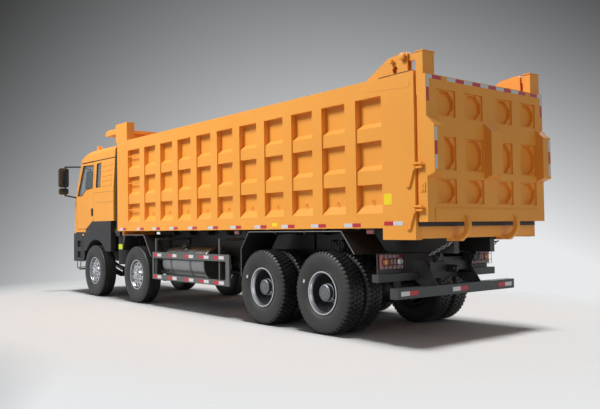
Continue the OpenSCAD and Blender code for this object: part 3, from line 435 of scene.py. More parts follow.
MIRROR = Finish("mirror glass", "clear_glass", srgb(84, 90, 94), 0.12, 1.0)
LIME = Finish("blank lime sticker", "yellow_paint", srgb(206, 220, 44), 0.4)
HOSE = Finish("rubber hose", "black_plastic", srgb(26, 26, 27), 0.5)
CHAIN = Finish("zinc-plated chain", "plain_steel", srgb(158, 160, 163), 0.34, 0.9)
# painted shadow: a darker copy of the yellow enamel, for the shade in the step where an ear plate meets the
# top rail
EAR_SHADOW_PAINT = Finish("joint with painted shadow", "yellow_paint", srgb(128, 76, 24), 0.6)
GLASS = Pane("tinted glass", "clear_glass", srgb(126, 133, 136), 0.04)


class Mould:
    """Collects corners and faces, then becomes one mesh piece."""

    def __init__(self) -> None:
        """Starts empty."""
        self.corners: list[Vector] = []
        self.faces: list[tuple[int, ...]] = []

    def add(self, corners: Iterable[Sequence[float]], faces: Iterable[Sequence[int]]) -> "Mould":
        """Appends corners and the faces between them.

        Args:
            corners: Positions in metres.
            faces: Corner numbers, counted from this call's first corner.

        Returns:
            The same mould.
        """
        first = len(self.corners)
        self.corners.extend(Vector(corner) for corner in corners)
        self.faces.extend(tuple(first + index for index in face) for face in faces)
        return self

    def box(self, low: Sequence[float], high: Sequence[float]) -> "Mould":
        """Adds a box.

        Args:
            low: Its least corner.
            high: Its greatest corner.

        Returns:
            The same mould.
        """
        ring = [(low[0], low[1]), (high[0], low[1]), (high[0], high[1]), (low[0], high[1])]
        return self.add([(x, y, z) for z in (low[2], high[2]) for x, y in ring], BOX_FACES)

    def lathe(self, profile: Sequence[Flat], place: Matrix, steps: int) -> "Mould":
        """Turns a profile about an axis.

        Args:
            profile: Closed or open run of (radius, height) points.
            place: Where the axis stands; the profile's height runs along its Z.
            steps: Facets in a full turn.

        Returns:
            The same mould.
        """
        count = len(profile)
        corners = []
        for step in range(steps):
            angle = 2 * math.pi * step / steps
            for radius, height in profile:
                local = Vector((radius * math.cos(angle), radius * math.sin(angle), height))
                corners.append(place @ local)
        faces = []
        for step in range(steps):
            near, far = step * count, ((step + 1) % steps) * count
            for i in range(count - 1):
                faces.append((near + i, far + i, far + i + 1, near + i + 1))
        return self.add(corners, faces)

    def ring(
        self, profile: Sequence[Flat], place: Matrix, spot: Flat, count: int, shift: float = 0.0
    ) -> "Mould":
        """Sets nuts or bolt heads round an axle.

        Args:
            profile: Run of (radius, height) points of one of them.
            place: The axle's place, with its Z toward the outside.
            spot: Radius of their circle and its height on the axle.
            count: How many there are.
            shift: Turn of the first, as a share of their spacing.

        Returns:
            The same mould.
        """
        for i in range(count):
            turn = Matrix.Rotation(2 * math.pi * (i + shift) / count, 4, "Z")
            self.lathe(profile, place @ turn @ Matrix.Translation((spot[0], 0, spot[1])), HEX)
        return self

    def bar(self, start: Point, end: Point, radius: float, steps: int) -> "Mould":
        """A round bar with flat ends.

        Args:
            start: Middle of one end.
            end: Middle of the other.
            radius: Bar radius.
            steps: Facets round it.

        Returns:
            The same mould.
        """
        run = Vector(end) - Vector(start)
        place = Matrix.Translation(start) @ run.to_track_quat("Z", "Y").to_matrix().to_4x4()
        profile = [(0.0, 0.0), (radius, 0.0), (radius, run.length), (0.0, run.length)]
        return self.lathe(profile, place, steps)

    def pipe(
        self, path: Sequence[Sequence[float]], radius: float, steps: int, closed: bool = False
    ) -> "Mould":
        """A bent tube.

        Args:
            path: Points along its middle.
            radius: Tube radius.
            steps: Facets round it.
            closed: Whether the last point joins the first.

        Returns:
            The same mould.
        """
        points = [Vector(point) for point in path]
        count = len(points)
        corners = []
        normal = None
        for i, point in enumerate(points):
            before = points[i - 1] if i or closed else point
            after = points[(i + 1) % count] if i < count - 1 or closed else point
            along = (after - before).normalized()
            if normal is None:
                normal = along.orthogonal().normalized()
            normal = (normal - along * normal.dot(along)).normalized()
            side = along.cross(normal)
            for step in range(steps):
                angle = 2 * math.pi * step / steps
                corners.append(point + radius * (math.cos(angle) * normal + math.sin(angle) * side))
        faces = []
        for i in range(count if closed else count - 1):
            near, far = i * steps, ((i + 1) % count) * steps
            for step in range(steps):
                other = (step + 1) % steps
                faces.append((near + step, near + other, far + other, far + step))
        if not closed:
            faces.append(tuple(range(steps))[::-1])
            faces.append(tuple(range((count - 1) * steps, count * steps)))
        return self.add(corners, faces)

    def copy_of(self, other: "Mould", place: Matrix) -> "Mould":
        """Appends another mould, moved; a mirrored copy is turned the right way out.

        Args:
            other: What is copied.
            place: Where it goes.

        Returns:
            The same mould.
        """
        flip = place.determinant() < 0
        faces = [face[::-1] if flip else face for face in other.faces]
        return self.add([place @ corner for corner in other.corners], faces)

    def both_sides(self) -> "Mould":
        """Appends the mirror image across the truck's middle.

        Returns:
            The same mould.
        """
        half = Mould()
        half.corners, half.faces = list(self.corners), list(self.faces)
        return self.copy_of(half, Matrix.Diagonal((1, -1, 1, 1)))

    def piece(
        self, name: str, finish: Finish, body: str | None, bevel: float = 0.0, smooth: float = 35
    ) -> bpy.types.Object:
        """Makes the mesh piece.

        Args:
            name: Piece name.
            finish: Its finish.
            body: The body that carries it, or None to leave it unattached.
            bevel: Edge rounding in metres.
            smooth: Edges flatter than this many degrees are shaded smooth.

        Returns:
            The object.
        """
        mesh = bpy.data.meshes.new(name)
        mesh.from_pydata([tuple(corner) for corner in self.corners], [], self.faces)
        mesh.validate()
        mesh.update()
        mesh.shade_smooth()
        mesh.set_sharp_from_angle(angle=math.radians(smooth))
        made = bpy.data.objects.new(name, mesh)
        bpy.context.scene.collection.objects.link(made)
        made.data.materials.append(finish.material())
        if bevel:
            round_edges(made, bevel)
        if body:
            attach(made, body)
        LOG.info("piece %s on %s: %d corners", name, body, len(self.corners))
        return made


def round_edges(piece: bpy.types.Object, width: float, segments: int = 2) -> None:
    """Rounds a piece's sharp edges.

    Args:
        piece: A mesh object.
        width: Size of the rounding in metres.
        segments: Facets across it.
    """
    bevel = piece.modifiers.new("rounded edges", "BEVEL")
    bevel.width = width
    bevel.segments = segments
    bevel.limit_method = "ANGLE"
    bevel.angle_limit = math.radians(38)
    bevel.harden_normals = True
    bevel.use_clamp_overlap = True


def coat(node: str, finish: Finish, bevel: float = 0.0) -> None:
    """Paints one of the frame's own solids.

    Args:
        node: The solid's name.
        finish: Its finish.
        bevel: Edge rounding in metres, or none.
    """
    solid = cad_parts[node]
    solid.data.materials.clear()
    solid.data.materials.append(finish.material())
    if bevel:
        weld = solid.modifiers.new("joined corners", "WELD")
        weld.merge_threshold = 0.00005
        round_edges(solid, bevel)
    LOG.info("solid %s as %s", node, finish.name)


@dataclass
class Bodywork:
    """The frame's own solids with their finishes.

    Attributes:
        plan: Nodes, finish and edge rounding of each group.
    """

    plan: list[tuple[tuple[str, ...], Finish, float]] = field(
        default_factory=lambda: [
            (("bed_floor",), FLOOR_PAINT, 0.004),
            (("bed_side_left", "bed_side_right", "bed_front_wall", "tailgate"), PAINT, 0.006),
            (("cab_shell", "cab_roof", "cab_front", "door_left", "door_right"), PAINT, 0.005),
            (("frame", "hoist_cradle", "steer_axles", "drive_axles", "springs", "powertrain"), CHASSIS, 0.0),
            (("mudguards", "cab_fenders", "front_bumper", "mirrors", "sun_visor"), PLASTIC, 0.004),
            (("rear_bars",), BAR_GREY, 0.004),
            (("air_intake", "seats", "dashboard"), PLASTIC, 0.01),
            (("cab_glass", "door_glass_left", "door_glass_right"), GLASS, 0.0),
            (("headlamps",), LAMP_CLEAR, 0.0),
            (("tail_lamps",), LAMP_RED, 0.004),
            (("beacon",), LAMP_AMBER, 0.006),
            (("tanks",), ALUMINIUM, 0.012),
            (("tank_straps", "lock_chains", "hoist_barrel"), STEEL, 0.0),
            (("hoist_stage_1", "hoist_stage_2", "hoist_stage_3", "hoist_rod"), PLATED, 0.0),
            (("side_guards",), GUARD_GREY, 0.004),
        ]
    )

    def dress(self) -> None:
        """Paints each group."""
        for nodes, finish, bevel in self.plan:
            for node in nodes:
                coat(node, finish, bevel)


@dataclass
class Tyre:
    """One tyre, drawn about its own axle with +Z toward the outside of the truck.

    Attributes:
        radius: Out to the tread.
        width: Across the sidewalls.
        driven: True for the deep blocks of a driven wheel, False for steered ribs.
        bead: Radius where it sits on the rim.
        pitches: Tread blocks round it.
        void: Depth of the tread.
    """

    radius: float
    width: float
    driven: bool
    bead: float = 0.29
    pitches: int = 54
    void: float = 0.017

    def half_section(self) -> list[Flat]:
        """Section of the outer half, from the bead to the tread's middle.

        Returns:
            Radius and distance from the middle of each point.
        """
        depth = self.radius - self.bead
        seat = self.width * SEAT_SHARE
        walls = []
        for step in range(15):
            share = step / 16
            bulge = self.width / 2 - (self.width / 2 - seat) * (abs(share - 0.55) / 0.55) ** 2
            ridge = 0.002 if step in (4, 12) else 0.0
            walls.append((self.bead + share * depth, bulge - 0.002 + ridge))
        crown = self.radius - (self.void if self.driven else 0.0)
        shoulder = [(crown - 0.016, self.width * 0.432), (crown - 0.004, self.width * 0.402)]
        ribs = [(crown, self.width * 0.385)]
        if not self.driven:
            for place in (0.27, 0.09):
                for edge, drop in ((0.022, 0), (0.014, 0.013), (-0.014, 0.013), (-0.022, 0)):
                    ribs.append((crown - drop, self.width * (place + edge)))
        return walls + shoulder + ribs

    def lug(self, mould: Mould, place: Matrix, angle: float, span: float, stations: Sequence[Flat]) -> None:
        """One tread block with sloped flanks.

        Args:
            mould: Where it is added.
            place: The tyre's place.
            angle: Its middle, in turns.
            span: Its length round the tyre, in turns.
            stations: Distance along the axle and outer radius of each cut across it.
        """
        corners = []
        for distance, outer in stations:
            slant = 0.12 * distance / self.pitches / self.width
            foot = -self.void - 0.004
            for turn, radius in ((-0.5, foot), (-0.42, 0), (0.42, 0), (0.5, foot)):
                theta = 2 * math.pi * (angle + slant + turn * span)
                reach = outer + radius
                corners.append(place @ Vector((reach * math.cos(theta), reach * math.sin(theta), distance)))
        faces = []
        for cut in range(len(stations) - 1):
            near, far = 4 * cut, 4 * cut + 4
            for i in range(3):
                faces.append((near + i, far + i, far + i + 1, near + i + 1))
        last = 4 * len(stations) - 4
        faces += [(0, 1, 2, 3), (last + 3, last + 2, last + 1, last)]
        mould.add(corners, faces)

    def cast(self, mould: Mould, place: Matrix) -> None:
        """Adds the tyre to a mould.

        Args:
            mould: Where it is added.
            place: Its middle, with Z along the axle.
        """
        half = self.half_section()
        mould.lathe(half + [(radius, -h) for radius, h in reversed(half)], place, 96)
        width, pitch = self.width, 1 / self.pitches
        edge = [(0.2, 0), (0.385, 0), (0.432, -0.014), (0.466, -0.05), (0.484, -0.078)]
        shoulder = [(share * width, self.radius + drop) for share, drop in edge]
        inner = [(0.025 * width, self.radius), (0.175 * width, self.radius)]
        rim_edge = [(0.395 * width, self.radius - 0.002), (0.434 * width, self.radius - 0.014)]
        for hand in (1, -1):
            for i in range(self.pitches):
                start = i * pitch
                if self.driven:
                    rows = [(shoulder, 0.0, 0.66), (inner, 0.5, 0.8)]
                else:
                    rows = [(rim_edge + [(0.462 * width, self.radius - 0.045)], 0.0, 0.7)]
                for stations, shift, share in rows:
                    mirrored = [(hand * distance, outer) for distance, outer in stations]
                    ordered = mirrored if hand > 0 else mirrored[::-1]
                    offset = shift + (0.25 if hand < 0 else 0)
                    self.lug(mould, place, start + offset * pitch, share * pitch, ordered)


def axle_place(low: Vector, high: Vector, side: Side) -> Matrix:
    """Middle of a wheel's box, with Z along the axle to the outside."""
    turn = Matrix.Rotation(math.radians(-90 * side.value), 4, "X")
    return Matrix.Translation((low + high) / 2) @ turn


@dataclass
class SteeredWheel:
    """A front wheel: ribbed tyre, polished disc, nuts and hub cap.

    Attributes:
        axle: First or second axle.
        side: Side of the truck.
        nuts: Wheel nuts.
        nut_spot: Radius of their circle and its height on the axle.
        cap_bolts: Bolts of the hub cap.
        cap_spot: Radius and height of their circle.
    """

    axle: int
    side: Side
    nuts: int = 10
    nut_spot: Flat = (0.131, 0.11)
    cap_bolts: int = 6
    cap_spot: Flat = (0.044, 0.0)

    def dress(self) -> None:
        """Makes the tyre, paints the disc and adds its nuts."""
        name = f"{self.axle}_{self.side.word}"
        low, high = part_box(f"tyre_{name}")
        body = f"wheel_{name}"
        place = axle_place(low, high, self.side)
        rubber = Mould()
        Tyre((high.z - low.z) / 2, high.y - low.y, False).cast(rubber, place)
        tyre = rubber.piece(f"ribbed_tyre_{name}", RUBBER, body)
        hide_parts(f"tyre_{name}")
        coat(f"rim_{name}", POLISHED)
        nut = [(0, 0.034), (0.009, 0.034), (0.009, 0.026), (0.016, 0.024), (0.017, 0.0)]
        metal = Mould().ring(nut, place, self.nut_spot, self.nuts, 0.5)
        metal.piece(f"wheel_nuts_{name}", BRIGHT, body, smooth=20)
        cap = Mould()
        cap.lathe([(0.0, 0.158), (0.05, 0.157), (0.062, 0.15), (0.066, 0.12), (0.0, 0.12)], place, 32)
        cap.ring([(0, 0.162), (0.006, 0.16), (0.007, 0.15)], place, self.cap_spot, self.cap_bolts)
        cap.piece(f"hub_cap_{name}", BRIGHT, body)


@dataclass
class TwinWheel:
    """A rear pair: two block-tread tyres, dark dished rims with bright flanges, hub and nuts.

    Attributes:
        axle: Third or fourth axle.
        side: Side of the truck.
        nuts: Wheel nuts.
        nut_spot: Radius of their circle and its height on the axle.
        hub_end: Distance of the hub's end from the pair's middle.
        flange_bolts: Bolts in that end.
        flange_spot: Radius and height of their circle.
        stems: Angles of the valve stems in radians.
        mark_angle: Angle of the balance mark in degrees.
        mark_half: Half the mark's length.
        mark_span: Radius of its inner and outer edge.
        mark_depth: How far its two faces lie inside the sidewall's bulge.
    """

    axle: int
    side: Side
    nuts: int = 10
    nut_spot: Flat = (0.148, 0.014)
    hub_end: float = 0.275
    flange_bolts: int = 10
    flange_spot: Flat = (0.088, 0.0)
    stems: Flat = (2.48, 2.66)
    mark_angle: float = -112
    mark_half: float = 0.024
    mark_span: Flat = (0.375, 0.405)
    mark_depth: Flat = (0.02, 0.003)

    def dress(self) -> None:
        """Makes the tyres and the rims' trim."""
        name = f"{self.axle}_{self.side.word}"
        low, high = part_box(f"tyres_{name}")
        single_low, single_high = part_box("tyre_1_left")
        width = single_high.y - single_low.y
        pitch = high.y - low.y - width
        body = f"wheels_{name}"
        middle = axle_place(low, high, self.side)
        rubber = Mould()
        for offset in (-pitch / 2, pitch / 2):
            tyre = Tyre((high.z - low.z) / 2, width, True)
            tyre.cast(rubber, middle @ Matrix.Translation((0, 0, offset)))
        tyres = rubber.piece(f"block_tread_tyres_{name}", RUBBER, body)
        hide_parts(f"tyres_{name}")
        coat(f"rims_{name}", WHEEL_GREY)
        lip = pitch / 2 + width * SEAT_SHARE + 0.014
        flange = [(0.262, -0.05), (0.276, -0.004), (0.28, 0.003), (0.297, 0.003), (0.299, -0.006)]
        ring = Mould().lathe([(radius, lip + h) for radius, h in flange], middle, 72)
        ring.piece(f"bright_flange_{name}", BRIGHT, body)
        wall = pitch / 2 + width / 2
        inner, outer = self.mark_span
        deep, shallow = self.mark_depth
        mark = Mould().box((-self.mark_half, inner, wall - deep), (self.mark_half, outer, wall - shallow))
        turned = middle @ Matrix.Rotation(math.radians(self.mark_angle), 4, "Z")
        Mould().copy_of(mark, turned).piece(f"balance_mark_{name}", TAPE_WHITE, body)
        self.hub(name, middle, body)

    def hub(self, name: str, middle: Matrix, body: str) -> None:
        """Adds the hub's case and bolts, the wheel nuts and the valve stems.

        Args:
            name: Axle and side.
            middle: The pair's middle, with Z along the axle to the outside.
            body: The body that carries them.
        """
        end = self.hub_end
        case = [(0, 0), (0.034, 0), (0.04, 0.01), (0.1, 0.012), (0.114, 0.02), (0.116, 0.075)]
        case += [(0.128, 0.08), (0.128, 0.1), (0.108, 0.11), (0.108, end - 0.1)]
        metal = Mould().lathe([(radius, end - depth) for radius, depth in case], middle, 40)
        bolt = [(0, end - 0.002), (0.009, end - 0.002), (0.01, end - 0.016)]
        metal.ring(bolt, middle, self.flange_spot, self.flange_bolts)
        nut = [(0, 0.042), (0.01, 0.042), (0.01, 0.03), (0.017, 0.028), (0.018, 0.0)]
        metal.ring(nut, middle, self.nut_spot, self.nuts, 0.5)
        stem = [(0.262, 0.19), (0.24, 0.22), (0.19, 0.23), (0.136, 0.24)]
        for angle in self.stems:
            path = [middle @ Vector((r * math.cos(angle), r * math.sin(angle), h)) for r, h in stem]
            metal.pipe(path, 0.005, 8)
        metal.piece(f"hub_{name}", STEEL, body, smooth=25)


def last_axle() -> float:
    """Place of the last axle on X, which the trim below is measured from."""
    low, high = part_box("tyres_4_left")
    return (low.x + high.x) / 2


def boxes_of(pairs: Iterable[tuple[Point, Point]]) -> Mould:
    """Boxes that are measured from the last axle.

    Args:
        pairs: Least and greatest corner of each.

    Returns:
        A mould with the boxes.
    """
    shift = Vector((last_axle(), 0, 0))
    mould = Mould()
    for low, high in pairs:
        mould.box(Vector(low) + shift, Vector(high) + shift)
    return mould


@dataclass
class Tape:
    """Reflective tape in red and white strips, gathered for one body.

    Attributes:
        thick: How far a strip stands out of its face.
        half: Length of one colour.
        width: Width of a strip.
        short: Length of a short strip or gap, as a share of a whole one.
        sunk: How far a strip reaches into its face.
        red: The red strips.
        white: The white strips.
    """

    thick: float = 0.0015
    half: float = 0.155
    width: float = 0.05
    short: float = 0.65
    sunk: float = 0.001
    red: Mould = field(default_factory=Mould)
    white: Mould = field(default_factory=Mould)

    def strip(self, start: Point, along: Point, across: Point, out: Point, reds: str) -> None:
        """Lays strips end to end.

        Args:
            start: Middle of the first strip's near end, on the face.
            along: Direction of the tape.
            across: Direction of its width.
            out: Direction out of the face.
            reds: One letter a strip: r for red, w for white, s for a short white, - for a short gap.
        """
        run, wide, up = Vector(along), Vector(across), Vector(out)
        reach = 0.0
        for colour in reds:
            length = self.half if colour in "rw" else self.short * self.half
            near = Vector(start) + run * reach - wide * self.width / 2
            reach += length
            if colour == "-":
                continue
            steps = ((0, 0), (length, 0), (length, self.width), (0, self.width))
            base = [near + run * a + wide * b - up * self.sunk for a, b in steps]
            top = [corner + up * (self.thick + self.sunk) for corner in base]
            target = self.red if colour == "r" else self.white
            target.add(base + top, BOX_FACES)

    def pieces(self, name: str, body: str) -> None:
        """Makes a red and a white piece.

        Args:
            name: What the tape is stuck to.
            body: The body that carries it.
        """
        if self.red.faces:
            self.red.piece(f"{name}_red_tape", TAPE_RED, body)
        if self.white.faces:
            self.white.piece(f"{name}_white_tape", TAPE_WHITE, body)


@dataclass
class BedTrim:
    """Weld beads, ear caps, tape, stickers and marker lamps on the bed's sides.

    Attributes:
        face: Half the bed's width.
        panel_face: Distance of a panel's face from the middle.
        tape_z: Height of the tape.
        first_tape: Front end of the tape on the front post, from the last axle.
        second_tape: Front end of the tape on the first rib's panel.
        pitch: From tape to tape after that.
        rib_tapes: How many there are after the first.
        post_tape: Front end of the tape on the rear post, and its height over the others.
        stickers: Lower rear and upper front corner of the stickers on the outer face.
        panel_sticker: The same corners of the sticker on a panel.
        sticker_depth: Where a sticker starts and ends, out from its face.
        lamps: Places of the marker lamps under the edge; the first is white.
        case: Corners of a lamp's case, from its place and the bed's outer face.
        lens: Corners of its lens.
        beads: Routes of the weld beads.
        ear_bolts: Place, height and radius of the caps on the ears' faces.
        ear_shadow_joint: Ends of the joint where an ear stands on the top rail, drawn as a strip of darker
            enamel that paints the shade in that step.
    """

    face: float = 1.216
    panel_face: float = 1.128
    tape_z: float = 1.475
    first_tape: float = 6.47
    second_tape: float = 5.674
    pitch: float = 0.6835
    rib_tapes: int = 10
    post_tape: Flat = (-1.205, 0.016)
    stickers: tuple[tuple[Flat, Flat], ...] = (
        ((-1.341, 1.721), (-1.208, 1.855)),
        ((0.99, 1.478), (1.117, 1.528)),
    )
    panel_sticker: tuple[Flat, Flat] = ((5.78, 1.993), (6.01, 2.197))
    sticker_depth: Flat = (-0.002, 0.0015)
    lamps: tuple[float, ...] = (4.79, 2.107, -0.93)
    case: tuple[Point, Point] = ((-0.075, -0.075, 1.36), (0.075, -0.03, 1.436))
    lens: tuple[Point, Point] = ((-0.062, -0.032, 1.366), (0.062, -0.02, 1.414))
    beads: tuple[tuple[Flat, ...], ...] = (
        ((6.575, 2.93), (6.2, 3.13), (6.11, 3.2), (6.08, 3.29)),
        ((6.575, 1.68), (6.3, 1.62), (6.16, 1.56), (6.07, 1.44)),
        ((-0.92, 3.16), (-1.62, 3.11), (-1.66, 3.14), (-1.665, 3.19)),
    )
    ear_bolts: tuple[Point, ...] = ((-1.548, 3.49, 0.046), (-1.37, 3.463, 0.03))
    ear_shadow_joint: tuple[Flat, Flat] = ((-1.15, 3.298), (-1.72, 3.304))

    def on_face(self, route: Iterable[Flat]) -> list[Point]:
        """Points on the left side's outer face, from places and heights."""
        return [(last_axle() + x, self.face, z) for x, z in route]

    def welds(self) -> None:
        """Adds the weld beads, the ears' joints with their painted shadow, and the ears' caps."""
        beads = Mould()
        for route in self.beads:
            beads.pipe(self.on_face(route), 0.003, 6)
        beads.both_sides().piece("weld_beads", PAINT, "bed")
        # this strip's dark colour is painted shade under the ear plate's edge, not a colour of its own
        shadow_joint = Mould().pipe(self.on_face(self.ear_shadow_joint), 0.006, 8)
        shadow_joint.both_sides().piece("ear_shadow_joints", EAR_SHADOW_PAINT, "bed")
        caps = Mould()
        for x, z, radius in self.ear_bolts:
            spot = Matrix.Translation((last_axle() + x, self.face, z))
            profile = [(0.0, 0.022), (radius * 0.8, 0.022), (radius, 0.016), (radius, -0.004)]
            caps.lathe(profile, spot @ Matrix.Rotation(-math.pi / 2, 4, "X"), 28)
        caps.both_sides().piece("ear_caps", PAINT, "bed")

    def tapes(self) -> None:
        """Lays the tape along both sides."""
        origin = last_axle()
        back, up = (-1, 0, 0), (0, 0, 1)
        starts = [self.first_tape] + [self.second_tape - i * self.pitch for i in range(self.rib_tapes)]
        post, lift = self.post_tape
        tape = Tape()
        for hand in (1, -1):
            y, out = hand * self.face, (0, hand, 0)
            for start in starts:
                tape.strip((origin + start, y, self.tape_z), back, up, out, "wr")
            tape.strip((origin + post, y, self.tape_z + lift), back, up, out, "rw")
        tape.pieces("bed", "bed")

    def blank_stickers(self) -> None:
        """Sticks blank labels on both sides."""
        spots = [(corners, self.face) for corners in self.stickers] + [(self.panel_sticker, self.panel_face)]
        start, end = self.sticker_depth
        pairs = [((a, y + start, b), (c, y + end, d)) for ((a, b), (c, d)), y in spots]
        boxes_of(pairs).both_sides().piece("bed_stickers", STICKER, "bed")

    def lamp_boxes(self, places: Iterable[float], corners: tuple[Point, Point]) -> Mould:
        """The same box at several marker lamps of both sides.

        Args:
            places: The lamps' places.
            corners: The box's corners, from a lamp's place and the outer face.

        Returns:
            A mould with the boxes.
        """
        pairs = [[(place + x, self.face + y, z) for x, y, z in corners] for place in places]
        return boxes_of(pairs).both_sides()

    def dress(self) -> None:
        """Dresses both sides."""
        self.welds()
        self.tapes()
        self.blank_stickers()
        for places, box, name, finish in (
            (self.lamps, self.case, "marker_lamp_cases", SEAL),
            (self.lamps[1:], self.lens, "red_marker_lamps", LAMP_RED),
            (self.lamps[:1], self.lens, "white_marker_lamps", LAMP_CLEAR),
        ):
            self.lamp_boxes(places, box).piece(name, finish, "bed", bevel=TRIM_BEVEL)


@dataclass
class GateTrim:
    """Tape along the tailgate's edges, and the rubber under it.

    Attributes:
        half: Half the gate's width.
        face: The gate's outer face behind the last axle.
        top: Height of its upper edge.
        box_face: Face of its box stiffeners behind the last axle.
        tape_half: Length of one colour of the tape.
        tape_width: Width of the tape.
        top_inset: Start of the upper tape from the gate's side, and its middle from the edge.
        side_inset: Middle of the side tapes from the gate's side, and their start from the edge.
        box_tape_z: Upper end of the tapes on the stiffeners.
        seal_x: Faces of the seal, ahead of the gate's outer face.
        seal_z: Lower and upper edge of the seal.
        seal_inset: Its ends from the gate's sides.
    """

    half: float = 1.193
    face: float = 1.89
    top: float = 3.237
    box_face: float = 2.005
    tape_half: float = 0.1623
    tape_width: float = 0.045
    top_inset: Flat = (0.008, 0.03)
    side_inset: Flat = (0.03, 0.053)
    box_tape_z: float = 2.6
    seal_x: Flat = (0.137, 0.163)
    seal_z: Flat = (1.45, 1.53)
    seal_inset: float = 0.02

    def dress(self) -> None:
        """Lays the tape and hangs the seal."""
        back = last_axle() - self.face
        boxes = last_axle() - self.box_face
        down, left, out = (0, 0, -1), (0, 1, 0), (-1, 0, 0)
        tape = Tape(half=self.tape_half, width=self.tape_width)
        start = (back, self.half - self.top_inset[0], self.top - self.top_inset[1])
        tape.strip(start, (0, -1, 0), (0, 0, 1), out, "sr-wrwrwrwrwr-rs")
        for hand in (1, -1):
            y = hand * (self.half - self.side_inset[0])
            tape.strip((back, y, self.top - self.side_inset[1]), down, left, out, "sr")
            tape.strip((boxes, y, self.box_tape_z), down, left, out, "wrw")
        tape.pieces("gate", "tailgate")
        edge = self.half - self.seal_inset
        low = (back + self.seal_x[0], -edge, self.seal_z[0])
        high = (back + self.seal_x[1], edge, self.seal_z[1])
        Mould().box(low, high).piece("gate_seal", SEAL, "tailgate", bevel=TRIM_BEVEL)


@dataclass
class ChassisTrim:
    """Tape on bars and guards, tail lamp lenses, filler cap, a sticker and pipes.

    Attributes:
        guard_face: Outer face of the side guards.
        guard_rails: Heights of their rails' middles.
        guard_tapes: Front ends of the tapes, from the last axle.
        bar_face: Rear face of the lower bar behind the last axle.
        bar_z: Height of its middle.
        bar_tapes: Left ends and colours of the tapes on it.
        tape_width: Width of the tapes.
        lens_places: Places of a tail lamp's amber and clear lens across the truck.
        cage_start: Place of the lamp cage's first wire across the truck.
        cage_wires: Upright wires of the cage.
        cage_inset: Distance of the last one from the lamp's end.
        cage_reach: Distance of the wires behind the lamp's face.
        cage_root: Where they end ahead of it.
        cage_bar: Distance of the level wires from the lamp's edges.
        cage_wire: Radius of the wires.
        guard_folds: Folds of the mudguards' outer edges, from the last axle.
        filler: Foot of the filler cap's axis, from the last axle.
        filler_tilt: Its lean to the left in degrees.
        cleaner: Place of the air cleaner's axis and the sticker's radius.
        label_z: Lower and upper edge of the sticker.
        label_turn: Its first angle, the step and the number of steps.
        hose_starts: Places of the hoses over the bogie.
        hose_route: Their route from there.
        front_starts: Places of the hoses behind the cab.
        front_route: Their route from there.
        line_heights: Heights of the lines along a rail.
        line_ends: Where those start and end.
        line_y: Their distance from the middle.
    """

    guard_face: float = 1.2
    guard_rails: tuple[float, float] = (0.975, 0.5625)
    guard_tapes: tuple[float, ...] = (4.975, 4.39, 3.79, 3.275, 2.8)
    bar_face: float = 1.385
    bar_z: float = 0.63
    bar_tapes: tuple[tuple[float, str], ...] = ((1.13, "wr"), (0.155, "wr"), (-0.82, "rw"))
    tape_width: float = 0.055
    lens_places: Flat = (1.03, 0.78)
    cage_start: float = 0.715
    cage_wires: int = 6
    cage_inset: float = 0.005
    cage_reach: float = 0.03
    cage_root: float = 0.05
    cage_bar: float = 0.05
    cage_wire: float = 0.004
    guard_folds: tuple[tuple[Flat, ...], ...] = (
        ((5.085, 0.94), (5.405, 1.354), (6.251, 1.354), (6.375, 1.044)),
        ((-0.64, 1.1), (-0.391, 1.4), (1.764, 1.4), (1.978, 1.131), (1.978, 0.7)),
    )
    filler: Point = (4.06, 0.8, 0.82)
    filler_tilt: float = -35
    cleaner: Point = (6.8, 0.9, 0.1765)
    label_z: Flat = (1.05, 1.16)
    label_turn: tuple[int, int, int] = (62, 5, 12)
    hose_starts: tuple[float, ...] = (0.16, 0.22, 0.34, 0.4)
    hose_route: tuple[Point, ...] = (
        (0, 0.46, 1.08), (-0.01, 0.62, 1.27), (-0.015, 0.7, 1.25), (-0.03, 0.72, 0.98),
    )
    front_starts: tuple[float, ...] = (6.9, 6.97)
    front_route: tuple[Point, ...] = ((0, 0.5, 1.1), (0.08, 0.74, 1.28), (0.15, 0.84, 1.2), (0.2, 0.86, 0.95))
    line_heights: tuple[float, ...] = (0.88, 0.92, 0.97)
    line_ends: Flat = (0.3, 6.3)
    line_y: float = 0.438

    def tapes(self) -> None:
        """Lays the tape."""
        origin = last_axle()
        tape = Tape(width=self.tape_width)
        for hand in (1, -1):
            for height in self.guard_rails:
                for start in self.guard_tapes:
                    place = (origin + start, hand * self.guard_face, height)
                    tape.strip(place, (-1, 0, 0), (0, 0, 1), (0, hand, 0), "rw")
        for start, order in self.bar_tapes:
            place = (origin - self.bar_face, start, self.bar_z)
            tape.strip(place, (0, -1, 0), (0, 0, 1), (-1, 0, 0), order)
        tape.pieces("chassis", "chassis")

    def lamps(self) -> None:
        """Adds lenses and a wire guard in front of the tail lamps."""
        low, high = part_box("tail_lamps")
        middle = (low.z + high.z) / 2
        dome = [(0.05, -0.002), (0.05, 0.006), (0.042, 0.012), (0.0, 0.018)]
        for y, word, finish in zip(self.lens_places, ("amber", "clear"), (LAMP_AMBER, LAMP_CLEAR)):
            place = Matrix.Translation((low.x, y, middle)) @ Matrix.Rotation(-math.pi / 2, 4, "Y")
            Mould().lathe(dome, place, 28).both_sides().piece(f"{word}_tail_lenses", finish, "chassis")
        root, back = low.x + self.cage_root, low.x - self.cage_reach
        wire = [(root, low.z - 0.012), (back, low.z - 0.006), (back, high.z + 0.006), (root, high.z + 0.012)]
        gap = (high.y - self.cage_inset - self.cage_start) / (self.cage_wires - 1)
        cage = Mould()
        for step in range(self.cage_wires):
            cage.pipe([(x, self.cage_start + step * gap, z) for x, z in wire], self.cage_wire, 6)
        for z in (low.z + self.cage_bar, high.z - self.cage_bar):
            cage.bar((back, self.cage_start, z), (back, high.y, z), self.cage_wire, 6)
        cage.both_sides().piece("lamp_cages", CHASSIS, "chassis")

